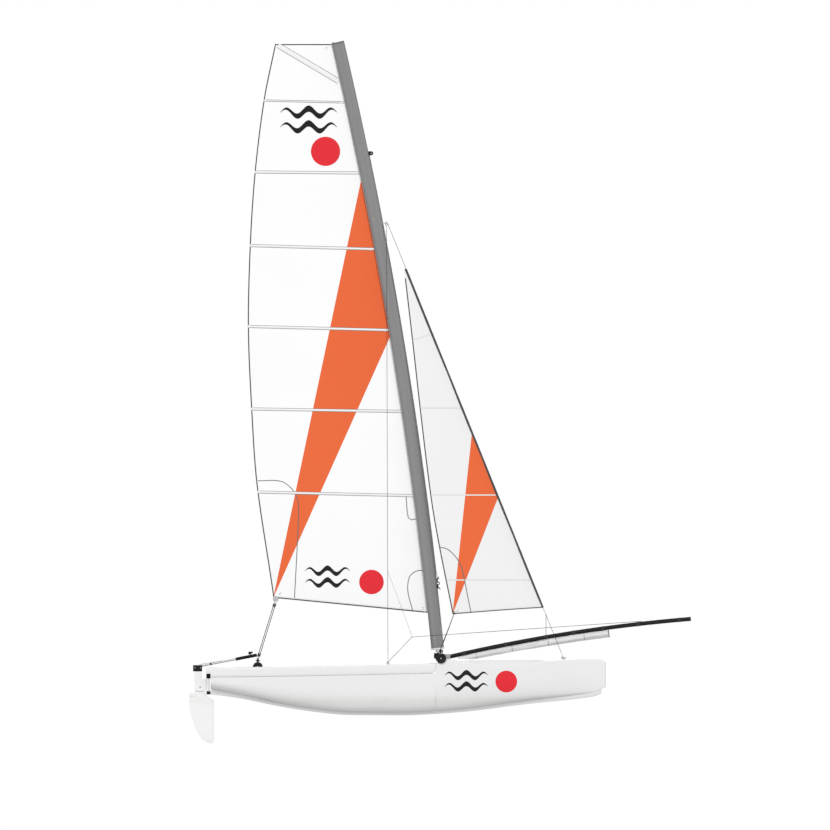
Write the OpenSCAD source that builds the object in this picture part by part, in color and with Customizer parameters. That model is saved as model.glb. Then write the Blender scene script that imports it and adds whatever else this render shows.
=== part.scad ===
// Twin-hulled sailing dinghy (beach catamaran), afloat and rigged with main and jib.
// +X forward, +Y port, +Z up. The origin is amidships, on the centreline, at the waterline.
// Heights are given above the base line, which touches the lowest point of both keels.

/* [Hulls] */
// Length from the bow to the end of the side deck
hull_l = 4240; // [3800:10:5100]
// Breadth of one hull below its side deck
hull_w = 376; // [320:2:440]
// Distance between the two hulls' centrelines
hull_spacing = 1720; // [1430:1:1900]
// Depth of the keels below the water
draft = 160; // [120:5:210]
// Height of the side deck at the stern
stern_h = 512; // [480:2:540]
// Height of the side deck just behind the front beam
waist_h = 554; // [530:2:560]
// Height of the foredeck along its middle
foredeck_h = 597; // [580:2:640]
// Depth of the side deck's edge
side_deck_t = 106; // [80:2:120]
// How far the side deck stands proud of the hull
deck_lip = 12; // [6:1:20]
// How far the side deck runs past the transom
deck_overhang = 50; // [30:1:70]
// Width of the keel
keel_w = 40; // [30:1:60]
// Depth of the keel amidships
keel_d = 42; // [30:1:60]

/* [Beams] */
// Diameter of both crossbeams
beam_d = 96; // [80:1:115]
// Wall of both crossbeams
beam_wall = 3.5; // [2:0.5:6]
// Place of the front beam, forward of amidships
front_beam_x = 373; // [360:1:390]
// Height of the front beam's centre
front_beam_h = 604; // [600:1:612]
// Place of the rear beam, aft of amidships
rear_beam_x = 1569; // [1500:1:1600]
// Height of the rear beam's centre
rear_beam_h = 514; // [508:1:530]
// Diameter of the caps that close the beams
beam_cap_d = 106; // [100:1:124]

/* [Mast] */
// Length of the mast tube along its chord
mast_l = 6494; // [5600:10:7400]
// Fore-and-aft size of the mast section
mast_chord = 136; // [110:1:163]
// Breadth of the mast section
mast_w = 62; // [50:1:80]
// Wall of the mast
mast_wall = 2.5; // [2:0.5:4]
// How far the middle of the mast stands forward of its chord
mast_bend = 106; // [60:1:160]
// Lean of the mast's chord from the vertical, in degrees
mast_rake = 9.35; // [6:0.05:12]
// Height of the ball that the mast turns on, above the front beam
ball_rise = 24; // [20:1:32]
// Height of the mast tube's lower end above that ball
foot_rise = 40; // [34:1:54]
// Place of the mast's ball, forward of amidships
mast_ball_x = 343; // [335:1:352]
// Height of the pin that carries the shrouds and the forestay
hounds_h = 5221; // [4700:10:5500]
// How far that pin stands forward of the mast
hounds_out = 40; // [36:1:60]

/* [Sails] */
// Breadth of the mainsail at its clew
main_foot_l = 1618; // [1300:2:1800]
// Height of the mainsail's clew
main_clew_h = 1245; // [1150:5:1400]
// Breadth of the jib at its clew
jib_foot_l = 986; // [700:2:1060]
// Height of the jib's clew
jib_clew_h = 1071; // [1000:1:1200]
// Thickness of the sail solids
sail_t = 4; // [3:0.5:8]
// Height of the mainsail's tack
main_tack_h = 1086; // [1000:5:1200]
// Depth of the mainsail's curve, as a share of its breadth
main_camber = 0.065; // [0.02:0.005:0.1]
// Depth of the jib's curve, as a share of its breadth
jib_camber = 0.06; // [0.02:0.005:0.1]
// Angle of the jib from the centreline, in degrees
jib_angle = 9; // [6:1:20]
// Height of the jib's head
jib_head_h = 4744; // [4300:10:4800]
// Height of the jib's tack
jib_tack_h = 1140; // [1120:5:1300]

/* [Bowsprit] */
// Diameter of the pole
pole_d = 45; // [36:1:56]
// Reach of the pole forward of amidships
pole_tip_x = 3022; // [2600:10:3300]
// Height of the pole's tip
pole_tip_h = 1024; // [960:2:1100]
// Rise of the pole's middle above its chord
pole_rise = 49; // [20:1:80]
// Breadth of the chute's mouth
chute_w = 190; // [150:5:240]
// Depth of the chute's mouth
chute_d = 80; // [70:2:100]

/* [Rudders] */
// Place of the rudder pins, aft of the transom
pin_back = 25; // [22:1:32]
// Diameter of the rudder pins
pin_d = 8; // [6:1:10]
// Breadth of a rudder stock
stock_w = 50; // [46:1:60]
// Thickness of a rudder blade
blade_t = 28; // [20:0.4:33.6]
// Height of the bolt that a blade tips up on
blade_bolt_h = 300; // [296:1:310]
// Diameter of the tiller arms
arm_d = 22; // [18:1:28]
// Height of the tiller arms' forward ends
arm_end_h = 641; // [636:1:660]
// Length of the tiller extension
extension_l = 800; // [600:10:820]

/* [Rigging] */
// Diameter of the wire stays
wire_d = 5; // [4:0.5:8]
// Place of the shrouds' lower ends, aft of amidships
shroud_x = 189; // [150:1:260]

/* [Hidden] */
$fn = 48;

gap = 0.3; // seat clearance between two fixed pieces
fit = 0.3; // running clearance round a pin

base = -draft;
hull_y = hull_spacing / 2;
bow_x = hull_l / 2;
stern_x = -hull_l / 2;
transom_x = stern_x + deck_overhang;
beam_r = beam_d / 2;
bx = front_beam_x;
rx = -rear_beam_x;
step_x = bx - beam_r - 11; // front end of the side decks
rise_x = bx + beam_r + 14; // where the foredecks have risen to their full height
mast_ball_h = front_beam_h + beam_r + ball_rise;
mast_bottom_h = mast_ball_h + foot_rise;
pin_x = transom_x - pin_back;

// ---- curves through a few chosen points ----
function piece_at(p, t, i = 0) = i >= len(p) - 2 || t < p[i + 1][0] ? i : piece_at(p, t, i + 1);
function slope_at(p, i) =
    let (a = max(i - 1, 0), b = min(i + 1, len(p) - 1))
    (p[b][1] - p[a][1]) / (p[b][0] - p[a][0]);
function smooth(p, t) =
    let (i = piece_at(p, t), w = p[i + 1][0] - p[i][0], s = (t - p[i][0]) / w)
    p[i][1] * (1 + 2 * s) * pow(1 - s, 2) + p[i + 1][1] * s * s * (3 - 2 * s)
    + w * (slope_at(p, i) * s * pow(1 - s, 2) - slope_at(p, i + 1) * s * s * (1 - s));

// ---- solids through a list of rings, and round a sheet of points ----
module skin(rings) {
    m = len(rings[0]);
    n = len(rings);
    polyhedron(
        points = [for (r = rings) each r],
        faces = concat(
            [for (i = [0:n - 2], j = [0:m - 1]) [i * m + j, (i + 1) * m + (j + 1) % m, i * m + (j + 1) % m]],
            [for (i = [0:n - 2], j = [0:m - 1]) [i * m + j, (i + 1) * m + j, (i + 1) * m + (j + 1) % m]],
            [[for (j = [0:m - 1]) j]],
            [[for (j = [m - 1:-1:0]) (n - 1) * m + j]]));
}

module sheet_solid(grid, shift) {
    n = len(grid);
    m = len(grid[0]);
    skin_points = concat([for (r = grid) for (p = r) p + shift], [for (r = grid) for (p = r) p - shift]);
    k = n * m;
    rim = concat(
        [for (j = [0:m - 2]) j], [for (i = [0:n - 2]) i * m + m - 1],
        [for (j = [m - 1:-1:1]) (n - 1) * m + j], [for (i = [n - 1:-1:1]) i * m]);
    polyhedron(
        points = skin_points,
        faces = concat(
            [for (i = [0:n - 2], j = [0:m - 2]) [i * m + j, (i + 1) * m + j + 1, i * m + j + 1]],
            [for (i = [0:n - 2], j = [0:m - 2]) [i * m + j, (i + 1) * m + j, (i + 1) * m + j + 1]],
            [for (i = [0:n - 2], j = [0:m - 2]) [k + i * m + j, k + i * m + j + 1, k + (i + 1) * m + j + 1]],
            [for (i = [0:n - 2], j = [0:m - 2])
                [k + i * m + j, k + (i + 1) * m + j + 1, k + (i + 1) * m + j]],
            [for (e = [0:len(rim) - 1]) let (a = rim[e], b = rim[(e + 1) % len(rim)]) [a, b, k + a]],
            [for (e = [0:len(rim) - 1]) let (a = rim[e], b = rim[(e + 1) % len(rim)]) [k + a, b, k + b]]));
}

// A round rod between two points
module rod(a, b, d) {
    v = b - a;
    translate(a)
        rotate([0, acos(v[2] / norm(v)), atan2(v[1], v[0])])
            cylinder(h = norm(v), d = d);
}

// ---- hull lines, along t from 0 at the stern to 1 at the bow ----
bottom_line = [[0, 302], [0.08, 237], [0.2, 127], [0.33, 52], [0.42, 41], [0.52, 42],
    [0.65, 82], [0.8, 165], [0.97, 249], [1, 300]];
keel_line = [[0, 72], [0.1, 49], [0.3, 42], [0.5, 38], [0.8, 46], [0.97, 48], [1, 40]];
width_line = [[0, 0.8], [0.15, 0.93], [0.36, 1], [0.5, 1], [0.65, 0.93], [0.8, 0.72], [0.92, 0.4], [1, 0.07]];
crown_line = [[0, 0], [0.6, 0], [0.64, 18], [0.685, 49], [0.76, 50], [0.8, 36], [0.89, 8], [0.97, 2], [1, 0]];
bow_line = [[0.6, 0], [0.975, 0], [0.99, 8], [1, 34]];

function along(x) = (x - stern_x) / hull_l;
function bottom_h(x) = smooth(bottom_line, along(x));
function keel_depth(x) = smooth(keel_line, along(x)) * keel_d / 42;
function half_w(x) = smooth(width_line, along(x)) * hull_w / 2;
function deck_h(x) = stern_h + (waist_h - stern_h) * pow(along(x) / along(step_x), 1.4);
function ledge_h(x) = deck_h(x) - side_deck_t;
function fore_h(x) =
    let (rise = (x - step_x) / (rise_x - step_x))
    rise < 1 ? waist_h + (foredeck_h - waist_h) * rise * rise * (3 - 2 * rise)
        : foredeck_h - smooth(bow_line, along(x));

// Port half of the hull's section at x, from the bottom up to the edge of the deck
function hull_half(x, top, round_r, crown) =
    let (b = half_w(x), lo = bottom_h(x), k = min(keel_w / 2, b * 0.6), side = lo + (top - crown - lo) * 0.62)
    concat(
        [for (a = [0:15:90]) [k + (b - k) * pow(sin(a), 0.82), lo + (side - lo) * pow(1 - cos(a), 1.1)]],
        [[b, top - crown - round_r], [b - 0.3 * round_r, top - crown - 0.3 * round_r],
            [b - round_r, top - crown], [b * 0.55, top - crown * 0.28]]);
// The whole section, up the port side and down the other
function hull_ring(x, top, round_r, crown) =
    let (half = hull_half(x, top, round_r, crown))
    concat(
        [for (p = half) [x, p[0], p[1] + base]],
        [[x, 0, top + base]],
        [for (i = [len(half) - 1:-1:0]) [x, -half[i][0], half[i][1] + base]]);

aft_stations = [for (i = [0:13]) transom_x + (step_x - transom_x) * i / 13];
fore_stations = [for (i = [0:4]) step_x + gap + (rise_x - step_x) * i / 4,
    for (i = [1:12]) rise_x + (bow_x * 0.955 - rise_x) * i / 12];
bow_stations = [for (s = [0.965, 0.98, 0.99, 0.996, 1]) bow_x * s];

module hull(y) {
    rings = concat(
        [for (x = aft_stations) hull_ring(x, ledge_h(x), 4, 0)],
        [for (x = concat(fore_stations, bow_stations))
            hull_ring(x, fore_h(x), 0.16 * half_w(x), smooth(crown_line, along(x)))]);
    difference() {
        translate([0, y, 0]) skin(rings);
        // seat of the front beam
        translate([bx, y - hull_w, front_beam_h + base])
            rotate([-90, 0, 0]) cylinder(h = 2 * hull_w, r = beam_r + gap);
        // seat of the hatch cover
        translate([hatch_x, y, hatch_seat_h + base]) cylinder(h = 100, d = hatch_d + 2 * gap);
    }
}

module port_hull() color([0.93, 0.93, 0.93]) hull(hull_y);
module starboard_hull() color([0.93, 0.93, 0.93]) hull(-hull_y);

// ---- keels, one long strip under each hull ----
keel_stations = concat(aft_stations, [for (i = [1:len(fore_stations) - 1]) fore_stations[i]],
    [for (i = [0:1]) bow_stations[i]]);
module keel(y) {
    rings = [for (x = keel_stations)
        let (hi = bottom_h(x), lo = hi - keel_depth(x), w = min(keel_w / 2, half_w(x) * 0.6))
        [[x, -w, hi + base - gap], [x, -w * 0.55, lo + base],
            [x, w * 0.55, lo + base], [x, w, hi + base - gap]]];
    translate([0, y, 0]) skin(rings);
}
module port_keel() color([0.84, 0.84, 0.85]) keel(hull_y);
module starboard_keel() color([0.84, 0.84, 0.85]) keel(-hull_y);

// ---- side decks, one cap along the top of each hull behind the front beam ----
overhang_t = 62; // depth of the deck's edge where it runs past the transom
deck_stations = concat([stern_x, transom_x - gap],
    [for (i = [0:13]) transom_x + (step_x - transom_x) * i / 13]);
function deck_edge(x) = half_w(x) + deck_lip;
function deck_ring(x) =
    let (b = deck_edge(x), hi = deck_h(x), lo = x < transom_x ? hi - overhang_t : ledge_h(x), r = 26)
    [[x, b - 8, lo], [x, b, lo + 10], [x, b, hi - r], [x, b - 0.3 * r, hi - 0.3 * r], [x, b - r, hi],
        [x, r - b, hi], [x, 0.3 * r - b, hi - 0.3 * r], [x, -b, hi - r], [x, -b, lo + 10], [x, 8 - b, lo]];
module side_deck(y) {
    difference() {
        translate([0, y, base]) skin([for (x = deck_stations) deck_ring(x)]);
        // seat of the rear beam, and the pocket round its cap
        translate([rx, 0, rear_beam_h + base])
            rotate([-90 * sign(y), 0, 0]) {
                cylinder(h = rear_beam_l / 2, r = beam_r + gap);
                translate([0, 0, rear_beam_l / 2 - gap])
                    cylinder(h = cap_t + 2 * gap, d = beam_cap_d + 2 * gap);
            }
    }
}
module port_side_deck() color([0.95, 0.95, 0.95]) side_deck(hull_y);
module starboard_side_deck() color([0.95, 0.95, 0.95]) side_deck(-hull_y);

// ---- crossbeams ----
front_beam_l = hull_spacing + hull_w + 2;
rear_beam_l = hull_spacing + hull_w - 70;
cap_t = 18;
module crossbeam(x, h, l) {
    translate([x, -l / 2, h + base])
        rotate([-90, 0, 0]) difference() {
            cylinder(h = l, d = beam_d);
            translate([0, 0, -1]) cylinder(h = l + 2, d = beam_d - 2 * beam_wall);
        }
}
module beam_caps(x, h, l) {
    for (s = [-1, 1])
        translate([x, s * l / 2, h + base])
            rotate([-90 * s, 0, 0]) {
                cylinder(h = cap_t * 0.6, d = beam_cap_d);
                translate([0, 0, cap_t * 0.6])
                    cylinder(h = cap_t * 0.4, d1 = beam_cap_d, d2 = beam_cap_d - 18);
            }
}
module front_crossbeam() color([0.62, 0.63, 0.65]) crossbeam(bx, front_beam_h, front_beam_l);
module rear_crossbeam() color([0.62, 0.63, 0.65]) crossbeam(rx, rear_beam_h, rear_beam_l);
module front_beam_caps() color([0.08, 0.08, 0.08]) beam_caps(bx, front_beam_h, front_beam_l);
module rear_beam_caps() color([0.08, 0.08, 0.08]) beam_caps(rx, rear_beam_h, rear_beam_l);

// ---- mast step, a casting clamped on the front beam, with the ball that the mast turns on ----
ball_d = 36;
saddle_t = 9; // wall of the casting round the front beam
module mast_step() color([0.9, 0.9, 0.9]) {
    translate([bx, 0, front_beam_h + base]) difference() {
        union() {
            rotate([-90, 0, 0]) translate([0, 0, -55]) cylinder(h = 110, r = beam_r + saddle_t);
            translate([mast_ball_x - bx - 45, -40, 0]) cube([90, 80, beam_r + saddle_t]);
        }
        rotate([-90, 0, 0]) translate([0, 0, -60]) cylinder(h = 120, r = beam_r + gap);
        translate([-beam_r * 2, -60, -beam_r * 2]) cube([beam_r * 4, 120, beam_r * 2 - 20]);
    }
    translate([mast_ball_x, 0, front_beam_h + beam_r + 8 + base])
        cylinder(h = mast_ball_h - front_beam_h - beam_r - 8, d = 22);
    translate([mast_ball_x, 0, mast_ball_h + base]) sphere(d = ball_d);
}

// ---- dolphin striker, the rod and post that brace the front beam from below ----
striker_drop = 120;
striker_half = hull_y - hull_w / 2 - 30; // from the post out to the rods' shoes
module dolphin_striker() color([0.75, 0.76, 0.78]) {
    low = [bx, 0, front_beam_h - beam_r - striker_drop + base];
    translate(low) cylinder(h = striker_drop - gap, d = 24);
    translate(low + [0, 0, -6]) sphere(d = 30);
    for (s = [-1, 1])
        rod(low, [bx, s * striker_half, front_beam_h - beam_r - 12 + base], 10);
    for (s = [-1, 1])
        translate([bx - 14, s * striker_half - 20, front_beam_h - beam_r - 20 + base])
            cube([28, 40, 20 - gap]);
}

// ---- trampoline between the hulls, and the hiking straps above it ----
tramp_t = 4;
tramp_drop = 30; // below the side decks' tops
tramp_sag = 25;
tramp_front = bx - beam_r + 6;
tramp_back = rx + beam_r + 12;
tramp_xs = concat([tramp_back], [for (x = deck_stations) if (x > tramp_back + 20) x], [tramp_front]);
function tramp_half(x) = hull_y - deck_edge(x) - 2 * gap;
function tramp_z(x, w) =
    let (s = (x - tramp_back) / (tramp_front - tramp_back))
    deck_h(min(x, step_x)) - tramp_drop - tramp_sag * 4 * s * (1 - s) * (1 - w * w) + base;
module trampoline() color([0.1, 0.1, 0.11]) {
    ny = 10;
    sheet_solid([for (x = tramp_xs) [for (j = [0:ny])
        let (w = 1 - 2 * j / ny) [x, w * tramp_half(x), tramp_z(x, w)]]], [0, 0, tramp_t / 2]);
}
strap_w = 50;
strap_t = 3;
strap_lift = 34;
strap_seat = 0.9;
module toe_straps() color([0.15, 0.15, 0.16])
    for (s = [-0.6, 0.6])
        skin([for (i = [1:len(tramp_xs) - 3])
            let (x = tramp_xs[i], y = s * tramp_half(0), lift = sin(180 * (i - 1) / (len(tramp_xs) - 4)),
                z = tramp_z(x, s) + tramp_t / 2 + strap_seat + strap_lift * lift)
            [[x, y - strap_w / 2, z], [x, y + strap_w / 2, z],
                [x, y + strap_w / 2, z + strap_t], [x, y - strap_w / 2, z + strap_t]]]);

// ---- mast: one arc in the centreline plane, from the foot to the head ----
mast_rad = mast_l * mast_l / (8 * mast_bend) + mast_bend / 2;
mast_arc = 2 * asin(mast_l / 2 / mast_rad);
mast_low = [mast_ball_x + (mast_ball_h - mast_bottom_h) * tan(mast_rake), mast_bottom_h + base];
mast_top = mast_low + mast_l * [-sin(mast_rake), cos(mast_rake)];
mast_mid = (mast_low + mast_top) / 2 + mast_bend * [cos(mast_rake), sin(mast_rake)];
mast_hub = mast_mid - mast_rad * [cos(mast_rake), sin(mast_rake)];
// Place, forward of amidships, of the line that runs d forward of the mast's centreline
function mast_x(z, d) = mast_hub[0] + sqrt(pow(mast_rad + d, 2) - pow(z - mast_hub[1], 2));
function mast_angle(z) = asin((z - mast_hub[1]) / mast_rad) - mast_rake;

// Sweeps a section along the mast from angle a0 to a1, both measured from its middle.
// The section's x is forward of the mast's centreline.
module mast_sweep(a0, a1) {
    translate([mast_hub[0], 0, mast_hub[1]])
        rotate([90, -(mast_rake + a0), 0])
            rotate_extrude(angle = a1 - a0, $fn = 720)
                translate([mast_rad, 0]) children();
}
module mast_section(inset) {
    scale([(mast_chord / 2 - inset) / 100, (mast_w / 2 - inset) / 100]) circle(r = 100, $fn = 96);
}
module mast() color([0.53, 0.53, 0.53]) {
    mast_sweep(-mast_arc / 2, mast_arc / 2)
        difference() {
            mast_section(0);
            mast_section(mast_wall);
        }
}

foot_t = 0.022; // degrees of the arc that the foot's plug takes up
boss_d = ball_d + 18;
module mast_foot() color([0.9, 0.9, 0.9]) {
    low = -mast_arc / 2;
    difference() {
        union() {
            mast_sweep(low - foot_t, low) mast_section(0);
            translate([mast_ball_x, 0, mast_ball_h - 10 + base])
                cylinder(h = mast_bottom_h - mast_ball_h + 4, d = boss_d);
        }
        translate([mast_ball_x, 0, mast_ball_h + base]) sphere(d = ball_d + 2 * fit);
    }
}
module mast_head() color([0.1, 0.1, 0.1])
    mast_sweep(mast_arc / 2, mast_arc / 2 + 0.025) mast_section(0);

// ---- hounds: the mast's tang turns on the pin of the swivel that all three stays pull on ----
ball_pt = [mast_ball_x, 0, mast_ball_h + base];
hounds_z = hounds_h + base;
hounds_pt = [mast_x(hounds_z, mast_chord / 2) + hounds_out, 0, hounds_z];
turn_tilt = atan2(ball_pt[0] - hounds_pt[0], hounds_pt[2] - ball_pt[2]);
hounds_pin_d = 10;
tang_t = 10;
swivel_d = 24;
swivel_h = 18;
module at_hounds() translate(hounds_pt) rotate([0, -turn_tilt, 0]) children();
module hounds_tang() color([0.75, 0.76, 0.78]) {
    a = mast_angle(hounds_z);
    difference() {
        at_hounds() union() {
            cylinder(h = tang_t, d = swivel_d + 4, center = true);
            translate([-hounds_out - 10, -15, -tang_t / 2]) cube([hounds_out + 10, 30, tang_t]);
        }
        at_hounds() cylinder(h = 3 * tang_t, d = hounds_pin_d + 2 * fit, center = true);
        mast_sweep(a - 0.1, a + 0.1) mast_section(-gap);
    }
}
module hounds_swivel() color([0.78, 0.79, 0.8])
    at_hounds() {
        translate([0, 0, -tang_t / 2 - 0.5 - swivel_h]) cylinder(h = swivel_h, d = swivel_d);
        translate([0, 0, -tang_t / 2 - 1]) cylinder(h = tang_t + 6, d = hounds_pin_d);
        translate([0, 0, tang_t / 2 + 0.5]) cylinder(h = 6, d = 18);
    }

// ---- stays ----
// The forestay and the two wires of the bow bridle lie in one plane, which meets the bows.
bridle_foot_x = 1666;
bridle_foot_h = foredeck_h + 24;
bridle_top_h = 1065;
bridle_ball_d = 16;
end_r = swivel_d / 2 + wire_d / 2 + gap;
stay_drop = tang_t / 2 + swivel_h * 0.6;
stay_top = hounds_pt + [end_r * cos(turn_tilt) + stay_drop * sin(turn_tilt), 0,
    end_r * sin(turn_tilt) - stay_drop * cos(turn_tilt)];
stay_slope = (bridle_foot_x - stay_top[0]) / (stay_top[2] - bridle_foot_h - base);
function stay_x(z) = stay_top[0] + stay_slope * (stay_top[2] - z);
bridle_top = [stay_x(bridle_top_h + base), 0, bridle_top_h + base];
stay_dir = (stay_top - bridle_top) / norm(stay_top - bridle_top);
plate_h = 34;
function shroud_foot(s) =
    [-shroud_x, s * (hull_y + hull_w / 2 - 40), deck_h(-shroud_x) + plate_h + gap + base];
module shroud(s) color([0.6, 0.6, 0.62])
    rod(shroud_foot(s) + [0, 0, gap],
        hounds_pt + [stay_drop * sin(turn_tilt), s * end_r, -stay_drop], wire_d);
module port_shroud() shroud(1);
module starboard_shroud() shroud(-1);
module shroud_plates() color([0.75, 0.76, 0.78])
    for (s = [-1, 1])
        translate(shroud_foot(s) + [-14, -3, -plate_h]) cube([28, 6, plate_h]);
module forestay() color([0.6, 0.6, 0.62])
    rod(bridle_top + stay_dir * (bridle_ball_d / 2 + gap), stay_top, wire_d);
module bow_bridle() color([0.6, 0.6, 0.62]) {
    for (s = [-1, 1])
        let (foot = [bridle_foot_x, s * hull_y, bridle_foot_h + wire_d / 2 + base], run = bridle_top - foot)
            rod(foot, bridle_top - run / norm(run) * bridle_ball_d / 4, wire_d);
    translate(bridle_top) sphere(d = bridle_ball_d);
}
bow_eye_d = 8;
plate_t = 6;
module bridle_plates() color([0.75, 0.76, 0.78])
    for (s = [-1, 1])
        translate([bridle_foot_x, s * hull_y - plate_t / 2, fore_h(bridle_foot_x) + gap + base])
            difference() {
                translate([-18, 0, 0]) cube([48, plate_t, bridle_foot_h - fore_h(bridle_foot_x) - gap]);
                // eye for a tow line
                translate([18, -1, 12]) rotate([-90, 0, 0]) cylinder(h = plate_t + 2, d = bow_eye_d);
            }

// ---- bowsprit pole, gennaker chute and its hoop ----
pole_foot = [bx + beam_r + saddle_t + 8, front_beam_h + 13];
pole_end = [pole_tip_x, pole_tip_h];
pole_span = norm(pole_end - pole_foot);
pole_rad = pole_span * pole_span / (8 * pole_rise) + pole_rise / 2;
pole_half = asin(pole_span / 2 / pole_rad);
pole_tilt = atan2(pole_end[1] - pole_foot[1], pole_end[0] - pole_foot[0]);
pole_hub = (pole_foot + pole_end) / 2 - (pole_rad - pole_rise) * [-sin(pole_tilt), cos(pole_tilt)];
// Point on the pole, d above its centreline, a degrees along from its middle
function pole_point(a, d) = pole_hub + (pole_rad + d) * [sin(a - pole_tilt), cos(a - pole_tilt)];
module pole_sweep(a0, a1) {
    translate([pole_hub[0], 0, pole_hub[1] + base])
        rotate([90, a1 - pole_tilt - 90, 0])
            rotate_extrude(angle = a1 - a0, $fn = 360)
                translate([pole_rad, 0]) children();
}
module bowsprit_pole() color([0.06, 0.06, 0.06]) {
    pole_sweep(-pole_half, pole_half) difference() {
        circle(d = pole_d);
        circle(d = pole_d - 5);
    }
}
socket_l = 34;
module pole_socket() color([0.75, 0.76, 0.78])
    difference() {
        translate([bx + beam_r / 2, -30, pole_foot[1] - 30 + base])
            cube([pole_foot[0] + socket_l - bx - beam_r / 2, 60, 64]);
        translate([bx, -35, front_beam_h + base])
            rotate([-90, 0, 0]) cylinder(h = 70, r = beam_r + saddle_t + gap);
        pole_sweep(-pole_half - 0.001, -pole_half + 1) circle(d = pole_d + 2 * gap);
    }
strop_a = asin((bridle_top[0] - pole_hub[0]) / pole_rad) + pole_tilt;
module pole_strop() color([0.2, 0.2, 0.2])
    rod([bridle_top[0], 0, pole_point(strop_a, pole_d / 2 + 3 * gap)[1] + base],
        bridle_top - [0, 0, bridle_ball_d / 2 + gap], 5);

// The chute is a sock below the pole, open at its forward end
chute_tail_x = 543;
chute_mouth_x = 2130;
chute_wall = 4;
function chute_a(u) =
    asin((chute_tail_x + (chute_mouth_x - chute_tail_x) * u - pole_hub[0]) / pole_rad) + pole_tilt;
function chute_ring(u, inset) =
    let (a = chute_a(u), w = 30 + (chute_w / 2 - 30) * u * u - inset,
        d = 25 + (chute_d / 2 - 25) * sqrt(u) - inset, mid = pole_d / 2 + gap + d + inset)
    [for (k = [0:11])
        let (p = pole_point(a, -mid + d * cos(30 * k)))
        [p[0], -w * sin(30 * k), p[1] + base]];
module gennaker_chute() color([0.9, 0.9, 0.91]) {
    n = 12;
    skin(concat([for (i = [0:n]) chute_ring(i / n, 0)],
        [for (i = [n:-1:4]) chute_ring(i / n, chute_wall)]));
}
hoop_t = 8;
module chute_hoop() color([0.1, 0.1, 0.1]) {
    a = chute_a(1);
    mid = pole_point(a, -pole_d / 2 - gap - chute_d / 2);
    translate([mid[0], 0, mid[1] + base])
        rotate([0, 90 - pole_tilt + a, 0]) translate([0, 0, gap]) linear_extrude(hoop_t) difference() {
            scale([chute_d / 200, chute_w / 200]) circle(r = 100);
            scale([chute_d / 200 - 0.07, chute_w / 200 - 0.07]) circle(r = 100);
        }
}

// ---- mainsheet track on the rear beam, with its car ----
track_l = 1100;
track_w = 22;
track_top_h = rear_beam_h + beam_r + 12;
car_h = 26;
module mainsheet_track() color([0.2, 0.2, 0.21])
    difference() {
        translate([rx - track_w / 2, -track_l / 2, rear_beam_h + base])
            cube([track_w, track_l, beam_r + 12]);
        translate([rx, -track_l, rear_beam_h + base])
            rotate([-90, 0, 0]) cylinder(h = 2 * track_l, r = beam_r + gap);
    }
module traveller_car() color([0.12, 0.12, 0.12]) {
    translate([rx - 24, -35, track_top_h + gap + base]) cube([48, 70, 10]);
    translate([rx, 4, track_top_h + 10 + base]) rotate([90, 0, 0])
        difference() {
            union() {
                translate([-12, -1, 0]) cube([24, car_h - 12, 8]);
                translate([0, car_h - 12, 0]) cylinder(h = 8, d = 24);
            }
            translate([0, car_h - 12, -1]) cylinder(h = 10, d = 9);
        }
}

// ---- jib sheet blocks on the front beam ----
jib_block_y = 240;
module jib_sheet_blocks() color([0.15, 0.15, 0.15])
    for (s = [-1, 1])
        translate([bx, s * jib_block_y, front_beam_h + base]) {
            difference() {
                translate([-18, -13, beam_r * 0.8]) cube([36, 26, beam_r * 0.2 + 8]);
                rotate([-90, 0, 0]) cylinder(h = 60, r = beam_r + gap, center = true);
            }
            translate([0, 0, beam_r + 8 + 20]) rotate([90, 0, 0]) cylinder(h = 14, d = 42, center = true);
        }

// ---- inspection hatches, let into the foredecks ----
hatch_x = 700;
hatch_d = 130;
hatch_seat_h = fore_h(hatch_x) - 18;
module hatch_covers() color([0.88, 0.88, 0.88])
    for (s = [-1, 1])
        translate([hatch_x, s * hull_y, hatch_seat_h + base]) {
            cylinder(h = 17, d = hatch_d);
            translate([0, 0, 17]) cylinder(h = 5, d1 = hatch_d, d2 = hatch_d - 10);
        }

// ---- block for the gennaker halyard, on the fore side of the mast ----
gennaker_h = 5957;
module gennaker_block() color([0.08, 0.08, 0.08]) {
    z = gennaker_h + base;
    a = mast_angle(z);
    x = mast_x(z, mast_chord / 2);
    difference() {
        union() {
            translate([x - 10, -5, z - 20]) cube([34, 10, 44]);
            translate([x + 26, 0, z + 2]) rotate([90, 0, 0]) cylinder(h = 16, d = 44, center = true);
        }
        translate([x + 26, 0, z + 2]) rotate([90, 0, 0]) cylinder(h = 20, d = 8, center = true);
        mast_sweep(a - 0.1, a + 0.1) mast_section(-gap);
    }
}

// ---- mainsail: the leech is a share of the foot's breadth at each height ----
main_head_h = mast_top[1] - base - 6;
main_share = [[0, 1], [0.2, 1.02], [0.34, 0.985], [0.49, 0.92],
    [0.64, 0.81], [0.77, 0.686], [0.9, 0.527], [1, 0.371]];
main_twist = 0.1;
luff_off = -mast_chord / 2 - gap;
function belly(s) = 4.2 * pow(s, 0.85) * (1 - s) * (1 - 0.25 * s);
function main_at(v, s) =
    let (zl = main_tack_h + (main_head_h - main_tack_h) * v + base,
        ze = main_clew_h + (main_head_h - main_clew_h) * v + base,
        breadth = smooth(main_share, v) * main_foot_l,
        xl = mast_x(zl, luff_off), xe = mast_x(ze, luff_off) - breadth,
        side = breadth * (main_camber * (1 - 0.2 * v) * belly(s) + main_twist * v * v * s * s))
    [xl + (xe - xl) * s, -side, zl + (ze - zl) * s];
module mainsail() color([1, 1, 1]) {
    rows = 22;
    cols = 10;
    sheet_solid([for (i = [0:rows]) [for (j = [0:cols]) main_at(i / rows, j / cols)]], [0, sail_t / 2, 0]);
}
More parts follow.
